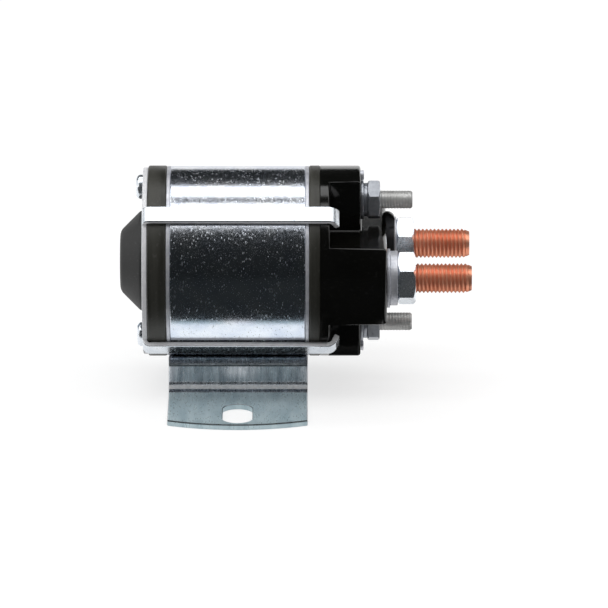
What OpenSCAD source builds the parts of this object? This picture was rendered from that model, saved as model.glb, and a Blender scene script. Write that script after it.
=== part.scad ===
// Plunger contactor: a round coil can lies on a saddle bracket, with the contact
// housing and its studs at one end and the plunger cap at the other.
// +X runs from the cap to the studs and +Z is up. The origin is the middle of the
// two mounting slots, on the underside of the feet.

/* [Can and coil] */
// Outer diameter of the coil can
can_d = 51; // [50:0.5:60]
// Length of the coil can
can_len = 36.2; // [34:0.2:50]
// Wall of the coil can
can_wall = 1.2; // [0.8:0.1:1.6]
// Thickness of each bobbin flange
bobbin_flange_t = 1.6; // [1:0.1:2.5]
// Wall of the bobbin tube
bobbin_wall = 1; // [0.6:0.1:1.4]
// Room between the winding and the can
winding_room = 2.3; // [1:0.1:5]

/* [End plates] */
// How far the insulators and the housing stand proud of the can
flange_step = 0.1; // [0:0.05:0.5]
// Thickness of the rear insulator
rear_insulator_t = 5; // [4.4:0.1:8]
// Thickness of the front insulator
front_insulator_t = 3; // [2:0.1:5]
// Width of the flux plate rim that shows outside the can
flux_rim_t = 1; // [0.6:0.1:2]
// Depth of the flux plate spigot inside the can
flux_spigot_t = 2; // [1:0.1:3]

/* [End frame] */
// Sheet thickness of the end plate and its straps
frame_t = 1.4; // [1:0.1:1.8]
// Width of each strap
strap_w = 4.6; // [3:0.1:6]
// Number of straps
strap_count = 4; // [4:2:4]
// Straight length of the strap tip past its bend over the housing shoulder
strap_tip = 2; // [1:0.1:2.6]
// Angle of the bent strap tip
strap_tip_angle = 60; // [40:1:70]
// Inner radius of the bend at the strap tip
strap_tip_r = 1.2; // [0.8:0.1:1.6]
// Distance of the end screws from the edge of the plate
end_screw_inset = 4.8; // [4:0.1:6]
// Head diameter of the end screws
end_screw_head_d = 6.6; // [5:0.1:7]
// Head height of the end screws
end_screw_head_h = 1.8; // [1:0.1:2.5]
// Shank diameter of the end screws
end_screw_d = 3; // [2.5:0.1:3.5]

/* [Plunger cap] */
// Diameter of the cap at its foot
cap_d = 27; // [24:0.5:30]
// Diameter of the flat at the cap's tip
cap_tip_d = 16; // [12:0.5:17]
// Height of the cap outside the end plate
cap_h = 6.2; // [5.8:0.1:9]
// Wall of the cap
cap_wall = 1.6; // [1:0.1:2]

/* [Contact housing] */
// Thickness of the shoulder disc that the straps clamp
shoulder_t = 2.4; // [2:0.1:4]
// Depth of the vertical lobes from the front insulator
tall_lobe_depth = 10.8; // [9:0.1:12]
// Width of the vertical lobes
tall_lobe_w = 15.4; // [13:0.1:17]
// Room between the horizontal lobes and the coil washers
wide_lobe_room = 1.2; // [0.5:0.1:1.5]
// Edge radius at the ends of the horizontal lobes
wide_lobe_r = 1.6; // [1:0.1:2]
// Edge radius at the ends of the vertical lobes
tall_lobe_r = 0.8; // [0.5:0.1:1.5]
// Moulded wall of the housing
housing_wall = 2; // [1.5:0.1:2.4]
// Thickness of the barrier between the main studs
barrier_t = 2.2; // [1.5:0.1:3]
// Reach of the barrier past the wide lobes
barrier_reach = 2.3; // [2:0.1:6]
// Room between the barrier and the upper coil terminal
barrier_room = 1.1; // [0.5:0.1:2]
// Room between the barrier and the lower coil terminal
barrier_low_room = 2.6; // [0.5:0.1:3]
// Corner radius of the barrier
barrier_corner_r = 2; // [1:0.1:2.6]
// Height of the small boss at the end of each vertical lobe
boss_h = 0.9; // [0.5:0.1:2]
// Room between that boss and the coil washer, and between it and the rim
boss_room = 0.25; // [0.2:0.05:0.4]

/* [Main studs] */
// Distance of the main studs from the rim of the housing
main_inset = 10.1; // [9.5:0.1:11]
// Major diameter of the main stud thread
main_stud_d = 7.938; // [7:0.001:8.5]
// Pitch diameter of the main stud thread
main_pitch_d = 7.249; // [6.5:0.001:7.4]
// Length of the main studs past the wide lobes
main_stud_len = 22.7; // [16:0.1:30]
// Head diameter of the main studs
main_head_d = 11; // [10:0.1:12]
// Head thickness of the main studs
main_head_t = 2.8; // [2.5:0.1:3]
// Outer diameter of the main flat washers
main_flat_d = 15.8; // [13:0.1:17]
// Thickness of the main flat washers
main_flat_t = 0.9; // [0.6:0.1:1.6]
// Outer diameter of the main lock washers
main_lock_d = 14.6; // [12:0.1:15]
// Thickness of the main lock washers
main_lock_t = 2; // [1.4:0.1:2.4]
// Width across the flats of the main nuts
main_nut_af = 12.7; // [11:0.1:14]
// Height of the main nuts
main_nut_h = 4.8; // [4:0.1:7]

/* [Coil terminals] */
// Place of the coil terminals as a share of the housing's radius
coil_share = 0.672; // [0.665:0.001:0.69]
// Major diameter of the coil terminal thread
coil_stud_d = 4.826; // [4:0.001:5]
// Pitch diameter of the coil terminal thread
coil_pitch_d = 4.31; // [3.6:0.001:4.4]
// Length of the coil terminals past the vertical lobes
coil_stud_len = 13.9; // [10:0.1:20]
// Head diameter of the coil terminals
coil_head_d = 8; // [7:0.1:9]
// Head thickness of the coil terminals
coil_head_t = 1.6; // [1.2:0.1:2.4]
// Outer diameter of the coil flat washers
coil_flat_d = 10.6; // [9:0.1:11]
// Thickness of the coil flat washers
coil_flat_t = 0.8; // [0.5:0.1:1.2]
// Outer diameter of the coil lock washers
coil_lock_d = 9; // [8:0.1:10]
// Thickness of the coil lock washers
coil_lock_t = 1.1; // [0.8:0.1:1.6]
// Width across the flats of the coil nuts
coil_nut_af = 9.525; // [8:0.001:10]
// Height of the coil nuts
coil_nut_h = 3.3; // [3:0.1:5]

/* [Mounting bracket] */
// Sheet thickness of the bracket
bracket_t = 1.6; // [1.2:0.1:2]
// How far the bracket reaches past each end of the can
bracket_over = 0.6; // [0:0.1:0.9]
// Height of the can's underside above the mounting plane
underside_h = 8.7; // [7.5:0.1:14]
// Width between the outer faces of the two walls
bracket_neck_w = 25.4; // [22:0.1:28]
// Outer radius of the crest that carries the can
crest_r = 3; // [2.6:0.1:3.6]
// Inner radius of the bend between wall and foot
foot_bend_r = 1.7; // [1:0.1:2.4]
// Sheet left past the outer end of each slot
foot_margin = 1.5; // [1:0.1:10]
// How far the foot edge falls back at its corners
foot_bulge = 3.6; // [1:0.1:4.5]
// Distance between the two mounting slots
slot_pitch = 63.5; // [62:0.1:65]
// Width of each mounting slot
slot_w = 8; // [5:0.1:9]
// Length of each mounting slot
slot_len = 15.5; // [12:0.1:16]

/* [Plunger and contacts] */
// Diameter of the plunger
plunger_d = 14.9; // [13:0.1:16]
// Distance that the plunger travels
plunger_travel = 3; // [2:0.1:3.2]
// Clearance left when the plunger or the bridge has travelled fully
end_gap = 0.15; // [0.1:0.01:0.3]
// Diameter of the plunger shaft
shaft_d = 4; // [3.4:0.1:4.4]
// Thickness of the contact bridge
bridge_t = 2.4; // [2:0.1:2.6]
// Room at each side of the contact bridge inside the housing
bridge_room = 2.2; // [0.5:0.1:3]
// How far the contact bridge reaches past the axes of the main studs
bridge_over = 5.5; // [3:0.1:6]
// Free play that the contact spring gives the bridge on the shaft
overtravel = 0.9; // [0.5:0.1:1.2]
// Wire diameter of both springs
spring_wire = 0.7; // [0.5:0.05:0.8]
// Room along the shaft for the contact spring
contact_spring_len = 5.9; // [5:0.1:9]
// Turns of the return spring
return_turns = 5; // [4:1:6]
// Turns of the contact spring
contact_turns = 3; // [2:1:3]

/* [Hidden] */
// Clearance between pieces that are only placed together
gap = 0.1;
// Radial running clearance of a sliding shaft
run_gap = 0.05;
// Hairline between faces that rest on each other and part in use
touch_gap = 0.02;
// Radial clearance of a stud in its hole
stud_gap = 0.15;
// Overrun of a cut past the surface that it opens
over = 1;
// Chamfer at the ends of studs
stud_chamfer = 1;
// Edge radius or chamfer of moulded and turned pieces
edge = 0.5;
// Thin chamfer on sheet and washer edges
fine_edge = 0.2;
// Faces of a hexagon
hex_sides = 6;

can_r = can_d / 2;
axis_h = underside_h + can_r;
flange_r = can_r + flange_step;
flange_d = 2 * flange_r;
can_front = can_len / 2;
rim_front = can_front + flux_rim_t;
housing_x = rim_front + front_insulator_t;
shoulder_x = housing_x + shoulder_t;
tall_x = housing_x + tall_lobe_depth;
plate_x = -rim_front - rear_insulator_t;
frame_x = plate_x - frame_t;
cap_x = frame_x - cap_h;

end_screw_r = flange_r - end_screw_inset;
main_y = flange_r - main_inset;
coil_z = coil_share * flange_r;
wide_lobe_h = 2 * (coil_z - coil_flat_d / 2 - wide_lobe_room);
bridge_w = wide_lobe_h - 2 * (housing_wall + bridge_room);
boss_d = flange_r - coil_z - coil_flat_d / 2 - 2 * boss_room;
barrier_up = coil_z - coil_stud_d / 2 - barrier_room;
barrier_down = coil_z - coil_stud_d / 2 - barrier_low_room;

plunger_r = plunger_d / 2;
guide_bore_r = plunger_r + run_gap;
guide_wall = 0.5;
guide_r = guide_bore_r + guide_wall;
bobbin_r = guide_r + gap;
shaft_r = shaft_d / 2;
bush_wall = 1.2;
bush_r = shaft_r + run_gap + bush_wall;

// Inside of the contact housing, from the front insulator to the outer face of the
// wide lobes
bush_flange_t = 0.7;
clip_t = 0.6;
seat_t = 0.6;
seat_r = 4.2;
seat_back = housing_x + end_gap;
seat_front = seat_back + seat_t;
bush_back = seat_front + contact_spring_len;
bridge_back = bush_back + bush_flange_t;
bridge_front = bridge_back + bridge_t;
bush_front = bridge_front + bush_flange_t;
retainer_x = bush_front + touch_gap;
clip_x = retainer_x + seat_t;
shaft_front = clip_x + 1.5 * clip_t;
head_x = bridge_front + plunger_travel + end_gap;
chamber_end = head_x + main_head_t;
wide_x = chamber_end + housing_wall;
wide_lobe_depth = wide_x - housing_x;

// The barrier stands clear of the upper coil nut
main_nut_x = wide_x + main_flat_t + main_lock_t;
coil_nut_x = tall_x + coil_flat_t + coil_lock_t;
barrier_back = coil_nut_x + coil_nut_h + edge;
barrier_x = wide_x + barrier_reach;

// Plunger, core and their spring seats
core_x = 2;
plunger_front = core_x - plunger_travel - end_gap;
plunger_back = cap_x + cap_wall + 2 * end_gap;
spring_seat_r = shaft_r + gap + spring_wire + 1;
spring_mean_r = shaft_r + 0.5 + spring_wire / 2;
core_seat_depth = 5;
plunger_seat_depth = 3;
shaft_root = plunger_front - 3 * shaft_d;

steel = "Gainsboro";
black = [0.12, 0.12, 0.12];
copper = [0.80, 0.48, 0.36];
round_fn = 96;
fine_fn = 48;

// Section outlines are drawn with Y to the right and Z up, then run along +X.
module on_axis(x) {
  translate([x, 0, axis_h])
    rotate([90, 0, 90])
      children();
}

module disc(r, t) {
  cylinder(r = r, h = t, $fn = round_fn);
}

module ring(r_out, r_in, t) {
  difference() {
    disc(r_out, t);
    translate([0, 0, -over])
      disc(r_in, t + 2 * over);
  }
}

// A turned ring with both outer edges chamfered
module edged_ring(r_out, r_in, t, cut) {
  rotate_extrude($fn = round_fn)
    polygon([[r_in, 0], [r_out - cut, 0], [r_out, cut], [r_out, t - cut], [r_out - cut, t], [r_in, t]]);
}

// Points of an arc from angle a to angle b, both ends included
function arc_points(cx, cy, r, a, b, steps) =
  [for (i = [0:steps]) [cx + r * cos(a + (b - a) * i / steps), cy + r * sin(a + (b - a) * i / steps)]];

// Main and coil studs, washers and nuts stand at these places of the section
module at_main(x) {
  for (side = [-1, 1])
    on_axis(x)
      translate([side * main_y, 0, 0])
        children();
}

module at_coil(x) {
  for (side = [-1, 1])
    on_axis(x)
      translate([0, side * coil_z, 0])
        children();
}

// Can, its end pieces and the coil
module can() {
  color(steel)
    on_axis(-can_front)
      edged_ring(can_r, can_r - can_wall, can_len, fine_edge);
}

// The spigot seats in the can and the rim closes it, seen from the rim side
module flux_plate(hole_r) {
  rotate_extrude($fn = round_fn)
    polygon([
      [hole_r, 0],
      [can_r - fine_edge, 0],
      [can_r, fine_edge],
      [can_r, flux_rim_t],
      [can_r - can_wall - gap, flux_rim_t],
      [can_r - can_wall - gap, flux_rim_t + flux_spigot_t],
      [hole_r, flux_rim_t + flux_spigot_t]
    ]);
}

module rear_flux_plate() {
  color(steel)
    on_axis(-rim_front)
      difference() {
        flux_plate(guide_r + gap);
        for (side = [-1, 1])
          translate([0, side * end_screw_r, -over])
            cylinder(d = end_screw_d, h = flux_rim_t + flux_spigot_t + 2 * over, $fn = fine_fn);
      }
}

// The fixed core's neck is riveted into this plate, and the coil leads pass it
module front_flux_plate() {
  color(steel)
    difference() {
      on_axis(rim_front)
        mirror([0, 0, 1])
          flux_plate(neck_r + gap);
      lead_holes();
    }
}

neck_r = 5;
core_r = guide_bore_r - gap / 2;
core_front = can_front - flux_spigot_t;

module fixed_core() {
  color("DimGray")
    on_axis(0)
      difference() {
        union() {
          translate([0, 0, core_x])
            disc(core_r, core_front - core_x);
          translate([0, 0, core_x])
            disc(neck_r, rim_front - core_x);
        }
        translate([0, 0, core_x - over])
          cylinder(r = shaft_r + run_gap, h = rim_front - core_x + 2 * over, $fn = fine_fn);
        translate([0, 0, core_x - over])
          cylinder(r = spring_seat_r, h = core_seat_depth + over, $fn = fine_fn);
      }
}

module guide_tube() {
  color("Goldenrod")
    on_axis(-rim_front)
      ring(guide_r, guide_bore_r, rim_front + core_front - gap);
}

coil_front = core_front - gap;

module bobbin() {
  color("Ivory")
    on_axis(-coil_front)
      difference() {
        rotate_extrude($fn = round_fn)
          polygon([
            [bobbin_r, 0],
            [can_r - can_wall - 4 * gap, 0],
            [can_r - can_wall - 4 * gap, bobbin_flange_t],
            [bobbin_r + bobbin_wall, bobbin_flange_t],
            [bobbin_r + bobbin_wall, 2 * coil_front - bobbin_flange_t],
            [can_r - can_wall - 4 * gap, 2 * coil_front - bobbin_flange_t],
            [can_r - can_wall - 4 * gap, 2 * coil_front],
            [bobbin_r, 2 * coil_front]
          ]);
        on_lead()
          cylinder(d = lead_hole_d, h = 2 * can_len, $fn = fine_fn);
      }
}

module winding() {
  length = 2 * (coil_front - bobbin_flange_t);
  color("Chocolate")
    on_axis(-length / 2)
      ring(can_r - can_wall - winding_room, bobbin_r + bobbin_wall + gap, length);
}

// Two leads run straight from the winding's front to the coil terminal heads
lead_d = 1.2;
lead_hole_d = 2.4;

module on_lead() {
  for (side = [-1, 1])
    translate([0, side * coil_z, 0])
      children();
}

module lead_holes() {
  on_axis(0)
    on_lead()
      cylinder(d = lead_hole_d, h = can_len, $fn = fine_fn);
}

coil_head_x = tall_x - housing_wall - coil_head_t;

module coil_leads() {
  color("Sienna")
    on_axis(coil_front - bobbin_flange_t)
      on_lead()
        cylinder(d = lead_d, h = coil_head_x - coil_front + bobbin_flange_t, $fn = fine_fn);
}

// The rear insulator holds the cap's foot and its gasket in a recess
foot_r = cap_d / 2 + 1.6;
foot_t = 1.2;
gasket_t = 0.6;

module rear_insulator() {
  color(black)
    on_axis(plate_x)
      difference() {
        edged_ring(flange_r, guide_r + gap, rear_insulator_t, edge);
        translate([0, 0, -over])
          disc(foot_r + gap, over + foot_t + gasket_t);
        for (side = [-1, 1])
          translate([0, side * end_screw_r, -over])
            cylinder(r = end_screw_d / 2 + gap, h = rear_insulator_t + 2 * over, $fn = fine_fn);
      }
}

module cap_gasket() {
  color("DarkSlateGray")
    on_axis(plate_x + foot_t)
      ring(foot_r, guide_r + 2 * gap, gasket_t);
}

// The cap is a moulded cup with a sloped shoulder; its foot is held under the end plate
module end_cap() {
  slope = cap_d / 2 - cap_tip_d / 2;
  color([0.26, 0.26, 0.26])
    on_axis(cap_x)
      rotate_extrude($fn = round_fn)
        polygon([
          [0, 0],
          [cap_tip_d / 2 - edge, 0],
          [cap_tip_d / 2 + edge * 0.7, edge * 0.7],
          [cap_d / 2 - edge * 0.3, slope - edge],
          [cap_d / 2, slope + edge * 0.6],
          [cap_d / 2, cap_h + frame_t],
          [foot_r, cap_h + frame_t],
          [foot_r, cap_h + frame_t + foot_t],
          [plunger_r + 4 * gap, cap_h + frame_t + foot_t],
          [plunger_r + 4 * gap, cap_wall],
          [0, cap_wall]
        ]);
}

module front_insulator() {
  color(black)
    difference() {
      on_axis(rim_front)
        edged_ring(flange_r, shaft_r + 2 * gap, front_insulator_t, edge);
      lead_holes();
    }
}

// End plate with its straps, formed from one sheet. A strap leaves the plate in a
// round bend, runs along the can and turns in over the housing's shoulder.
strap_in = flange_r + gap;
bend_in = 0.6;
plate_r = flange_r - edge;
tip_bend_x = shoulder_x - edge;

// Point of the tip bend's arc, with its straight run past the bend's end
function tip_point(r, a, run) = [
  strap_in - strap_tip_r + r * cos(a) - run * sin(a),
  tip_bend_x + r * sin(a) + run * cos(a)
];

module strap_profile() {
  root_r = strap_in - bend_in;
  root_x = plate_x + bend_in;
  tip_out = strap_tip_r + frame_t;
  t = strap_tip_angle;
  polygon(concat(
    [[plate_r - 2 * frame_t, frame_x]],
    arc_points(root_r, root_x, bend_in + frame_t, 270, 360, 6),
    [for (i = [0:6]) tip_point(tip_out, t * i / 6, 0)],
    [tip_point(tip_out, t, strap_tip)],
    [tip_point(strap_tip_r, t, strap_tip)],
    [for (i = [6:-1:0]) tip_point(strap_tip_r, t * i / 6, 0)],
    arc_points(root_r, root_x, bend_in, 360, 270, 6),
    [[plate_r - 2 * frame_t, plate_x]]
  ));
}

module end_frame() {
  color(steel)
    on_axis(0)
      difference() {
        union() {
          translate([0, 0, frame_x])
            edged_ring(plate_r, cap_d / 2 + gap, frame_t, fine_edge);
          for (i = [0:strap_count - 1])
            rotate([0, 0, 180 / strap_count + i * 360 / strap_count])
              rotate([90, 0, 0])
                translate([0, 0, -strap_w / 2])
                  linear_extrude(strap_w)
                    strap_profile();
        }
        for (side = [-1, 1])
          translate([0, side * end_screw_r, frame_x - over])
            cylinder(r = end_screw_d / 2 + gap, h = frame_t + 2 * over, $fn = fine_fn);
      }
}

module end_screws() {
  grip = frame_t + rear_insulator_t + flux_rim_t + flux_spigot_t;
  color(steel)
    on_axis(frame_x)
      for (side = [-1, 1])
        translate([0, side * end_screw_r, 0])
          union() {
            translate([0, 0, -end_screw_head_h])
              cylinder(d1 = end_screw_head_d - 2 * edge, d2 = end_screw_head_d, h = edge, $fn = fine_fn);
            translate([0, 0, edge - end_screw_head_h])
              cylinder(d = end_screw_head_d, h = end_screw_head_h - edge, $fn = fine_fn);
            cylinder(d = end_screw_d, h = grip, $fn = fine_fn);
          }
}

// Contact housing: shoulder disc, two tall lobes for the coil terminals, two wide
// lobes for the main studs, and the barrier between the main studs.
module lobe(w, h, depth, inset, r) {
  outer = flange_r - inset;
  half = h / 2 - inset;
  rounded = arc_points(outer - r, depth - r, r, 0, 90, 6);
  intersection() {
    rotate_extrude($fn = round_fn)
      polygon(concat([[0, 0], [outer, 0]], rounded, [[0, depth]]));
    translate([w / 2 - inset, 0, 0])
      rotate([0, -90, 0])
        linear_extrude(w - 2 * inset)
          polygon(concat(
            [[0, -half]],
            arc_points(depth - r, r - half, r, -90, 0, 6),
            arc_points(depth - r, half - r, r, 0, 90, 6),
            [[0, half]]
          ));
  }
}

module barrier() {
  r = barrier_corner_r;
  small_r = r / 2;
  translate([barrier_t / 2, 0, 0])
    rotate([0, -90, 0])
      linear_extrude(barrier_t)
        polygon(concat(
          [[barrier_back, -barrier_down]],
          arc_points(barrier_x - r, r - barrier_down, r, -90, 0, 6),
          arc_points(barrier_x - r, barrier_up - r, r, 0, 90, 6),
          arc_points(barrier_back + small_r, barrier_up - small_r, small_r, 90, 180, 4)
        ));
}

module contact_housing() {
  tall_hollow = tall_lobe_depth + over - housing_wall;
  wide_hollow = wide_lobe_depth + over - housing_wall;
  color(black)
    on_axis(0)
      difference() {
        union() {
          translate([0, 0, housing_x])
            edged_ring(flange_r, 0, shoulder_t, fine_edge);
          translate([0, 0, housing_x])
            lobe(tall_lobe_w, flange_d, tall_lobe_depth, 0, tall_lobe_r);
          translate([0, 0, housing_x])
            lobe(flange_d, wide_lobe_h, wide_lobe_depth, 0, wide_lobe_r);
          barrier();
          for (side = [-1, 1])
            translate([0, side * (flange_r - boss_room - boss_d / 2), tall_x - over])
              cylinder(d = boss_d, h = boss_h + over, $fn = fine_fn);
        }
        translate([0, 0, housing_x - over])
          lobe(tall_lobe_w, flange_d, tall_hollow, housing_wall, fine_edge);
        translate([0, 0, housing_x - over])
          lobe(flange_d, wide_lobe_h, wide_hollow, housing_wall, fine_edge);
        for (side = [-1, 1]) {
          translate([side * main_y, 0, wide_x - housing_wall - over])
            cylinder(r = main_stud_d / 2 + stud_gap, h = housing_wall + 2 * over, $fn = fine_fn);
          translate([0, side * coil_z, tall_x - housing_wall - over])
            cylinder(r = coil_stud_d / 2 + stud_gap, h = housing_wall + 2 * over, $fn = fine_fn);
        }
      }
}

// A stud has its head inside the housing. Where the housing, washers and nut hold
// it, it is drawn at its pitch diameter, and past the nut at its major diameter.
module stud(head_d, head_t, pitch_d, d, held, len, cut) {
  union() {
    cylinder(d = head_d, h = head_t, $fn = fine_fn);
    cylinder(d = pitch_d, h = held, $fn = fine_fn);
    translate([0, 0, held])
      cylinder(d = d, h = len - cut - held, $fn = fine_fn);
    translate([0, 0, len - cut])
      cylinder(d1 = d, d2 = d - 2 * cut, h = cut, $fn = fine_fn);
  }
}

module main_stud(side) {
  color(copper)
    on_axis(head_x)
      translate([side * main_y, 0, 0])
        stud(
          main_head_d,
          main_head_t,
          main_pitch_d,
          main_stud_d,
          main_nut_x + main_nut_h - head_x,
          wide_x - head_x + main_stud_len,
          stud_chamfer
        );
}

module line_stud() {
  main_stud(-1);
}

module load_stud() {
  main_stud(1);
}

module coil_terminal(side) {
  color("LightGray")
    on_axis(coil_head_x)
      translate([0, side * coil_z, 0])
        stud(
          coil_head_d,
          coil_head_t,
          coil_pitch_d,
          coil_stud_d,
          coil_nut_x + coil_nut_h - coil_head_x,
          tall_x - coil_head_x + coil_stud_len,
          stud_chamfer / 2
        );
}

module coil_terminal_upper() {
  coil_terminal(1);
}

module coil_terminal_lower() {
  coil_terminal(-1);
}

module main_flat_washers() {
  color(steel)
    at_main(wide_x)
      edged_ring(main_flat_d / 2, main_stud_d / 2 + stud_gap, main_flat_t, fine_edge);
}

module coil_flat_washers() {
  color(steel)
    at_coil(tall_x)
      edged_ring(coil_flat_d / 2, coil_stud_d / 2 + stud_gap, coil_flat_t, fine_edge);
}

// A lock washer is a thick ring with one cut across it
split_w = 0.8;
main_lock_turn = 60;
coil_lock_turn = 40;
clip_turn = 90;

module lock_washer(r_out, r_in, t, turn) {
  difference() {
    edged_ring(r_out, r_in, t, fine_edge);
    rotate([0, 0, turn])
      translate([0, -split_w / 2, -over])
        cube([r_out + over, split_w, t + 2 * over]);
  }
}

module main_lock_washers() {
  color(steel)
    at_main(wide_x + main_flat_t)
      lock_washer(main_lock_d / 2, main_stud_d / 2 + stud_gap, main_lock_t, main_lock_turn);
}

module coil_lock_washers() {
  color(steel)
    at_coil(tall_x + coil_flat_t)
      lock_washer(coil_lock_d / 2, coil_stud_d / 2 + stud_gap, coil_lock_t, coil_lock_turn);
}

// A hexagon whose corners are turned off at 30 degrees on both faces
module nut(af, h, bore_r, turn) {
  corner_r = af / sqrt(3);
  drop = (corner_r - af / 2) * tan(30);
  rotate([0, 0, turn])
    difference() {
      intersection() {
        cylinder(r = corner_r, h = h, $fn = hex_sides);
        rotate_extrude($fn = round_fn)
          polygon([
            [0, 0],
            [af / 2, 0],
            [corner_r, drop],
            [corner_r, h - drop],
            [af / 2, h],
            [0, h]
          ]);
      }
      translate([0, 0, -over])
        cylinder(r = bore_r, h = h + 2 * over, $fn = fine_fn);
    }
}

main_nut_turn = 30;
coil_nut_turn = 36;

module main_nuts() {
  color(steel)
    at_main(main_nut_x)
      nut(main_nut_af, main_nut_h, main_pitch_d / 2 + run_gap, main_nut_turn);
}

module coil_nuts() {
  color(steel)
    at_coil(coil_nut_x)
      nut(coil_nut_af, coil_nut_h, coil_pitch_d / 2 + run_gap, coil_nut_turn);
}

// Bracket: one sheet with a saddle under the can, two rounded crests, two walls
// and two feet. Each face of its section is drawn for +Y and mirrored.
saddle_r = can_r + gap;
wall_y = bracket_neck_w / 2;
crest_y = wall_y - crest_r;
crest_rise = sqrt(pow(saddle_r + crest_r, 2) - pow(crest_y, 2));
crest_z = axis_h - crest_rise;
saddle_half = atan(crest_y / crest_rise);
foot_y = (slot_pitch + slot_len) / 2 + foot_margin;
bracket_len = can_len + 2 * bracket_over;

// Upper or lower face of the half section, from the middle out to the foot's edge
function bracket_face(saddle, crest, wall, bend, z) = concat(
  arc_points(0, axis_h, saddle, -90, -90 + saddle_half, 8),
  arc_points(crest_y, crest_z, crest, 90 + saddle_half, 0, 10),
  arc_points(wall + bend, z + bend, bend, 180, 270, 8),
  [[foot_y, z]]
);

function reversed(list) = [for (i = [len(list) - 1:-1:0]) list[i]];

function both_sides(list) = concat(
  [for (p = reversed(list)) [-p[0], p[1]]],
  [for (i = [1:len(list) - 1]) list[i]]
);

module bracket_section() {
  upper = both_sides(bracket_face(saddle_r, crest_r, wall_y, foot_bend_r, bracket_t));
  lower = both_sides(bracket_face(
    saddle_r + bracket_t,
    crest_r - bracket_t,
    wall_y - bracket_t,
    foot_bend_r + bracket_t,
    0
  ));
  polygon(concat(upper, reversed(lower)));
}

// Plan of the feet: a wide circle trims the end of each foot
module foot_plan() {
  half = bracket_len / 2;
  edge_r = (pow(half, 2) + pow(foot_bulge, 2)) / (2 * foot_bulge);
  for (turn = [0, 180])
    rotate([0, 0, turn])
      intersection() {
        translate([-half, -over])
          square([bracket_len, foot_y + over]);
        translate([0, foot_y - edge_r])
          circle(r = edge_r, $fn = 2 * round_fn);
      }
}

module slot_cut() {
  reach = (slot_len - slot_w) / 2;
  for (end = [-reach, reach])
    translate([0, end, -over])
      cylinder(d = slot_w, h = bracket_t + 2 * over, $fn = fine_fn);
  translate([-slot_w / 2, -reach, -over])
    cube([slot_w, 2 * reach, bracket_t + 2 * over]);
}

module mounting_bracket() {
  color(steel)
    difference() {
      intersection() {
        translate([-bracket_len / 2, 0, 0])
          rotate([90, 0, 90])
            linear_extrude(bracket_len)
              bracket_section();
        translate([0, 0, -over])
          linear_extrude(axis_h)
            foot_plan();
      }
      for (side = [-1, 1])
        translate([0, side * slot_pitch / 2, 0])
          slot_cut();
    }
}

// Moving pieces
module plunger() {
  color("DimGray")
    on_axis(0)
      difference() {
        translate([0, 0, plunger_back])
          edged_ring(plunger_r, 0, plunger_front - plunger_back, edge);
        translate([0, 0, shaft_root])
          cylinder(r = shaft_r, h = plunger_front - shaft_root + over, $fn = fine_fn);
        translate([0, 0, plunger_front - plunger_seat_depth])
          cylinder(r = spring_seat_r, h = plunger_seat_depth + over, $fn = fine_fn);
      }
}

// The shaft has one groove for the clip in front and one for the spring seat's clip
groove_depth = 0.4;

module shaft_groove(x) {
  translate([0, 0, x])
    difference() {
      cylinder(r = shaft_r + over, h = clip_t, $fn = fine_fn);
      cylinder(r = shaft_r - groove_depth, h = clip_t, $fn = fine_fn);
    }
}

module plunger_shaft() {
  color("Silver")
    on_axis(0)
      difference() {
        union() {
          translate([0, 0, shaft_root])
            cylinder(r = shaft_r, h = shaft_front - shaft_root - fine_edge, $fn = fine_fn);
          translate([0, 0, shaft_front - fine_edge])
            cylinder(r1 = shaft_r, r2 = shaft_r - fine_edge, h = fine_edge, $fn = fine_fn);
        }
        shaft_groove(clip_x);
      }
}

module shaft_clip() {
  color("Silver")
    on_axis(clip_x)
      lock_washer(shaft_r + 1.2, shaft_r - groove_depth, clip_t, clip_turn);
}

module bridge_retainer() {
  color(steel)
    on_axis(retainer_x)
      ring(bush_r + 0.6, shaft_r + run_gap, clip_x - retainer_x);
}

module spring_seat() {
  color(steel)
    on_axis(seat_back)
      ring(seat_r, shaft_r, seat_t);
}

module contact_bridge() {
  color(copper)
    on_axis(bridge_back)
      difference() {
        translate([-main_y - bridge_over, -bridge_w / 2, 0])
          cube([2 * (main_y + bridge_over), bridge_w, bridge_t]);
        translate([0, 0, -over])
          cylinder(r = bush_r + gap / 2, h = bridge_t + 2 * over, $fn = fine_fn);
      }
}

module bridge_bushing() {
  color("Ivory")
    on_axis(bush_back)
      rotate_extrude($fn = fine_fn)
        polygon([
          [shaft_r + run_gap, 0],
          [seat_r, 0],
          [seat_r, bush_flange_t],
          [bush_r, bush_flange_t],
          [bush_r, bush_flange_t + bridge_t],
          [seat_r, bush_flange_t + bridge_t],
          [seat_r, 2 * bush_flange_t + bridge_t],
          [shaft_r + run_gap, 2 * bush_flange_t + bridge_t]
        ]);
}

// A round-wire spring as one swept tube, with both ends laid flat by the wire's
// own radius inside the given length
wire_sides = 6;
turn_rings = 12;

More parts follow.
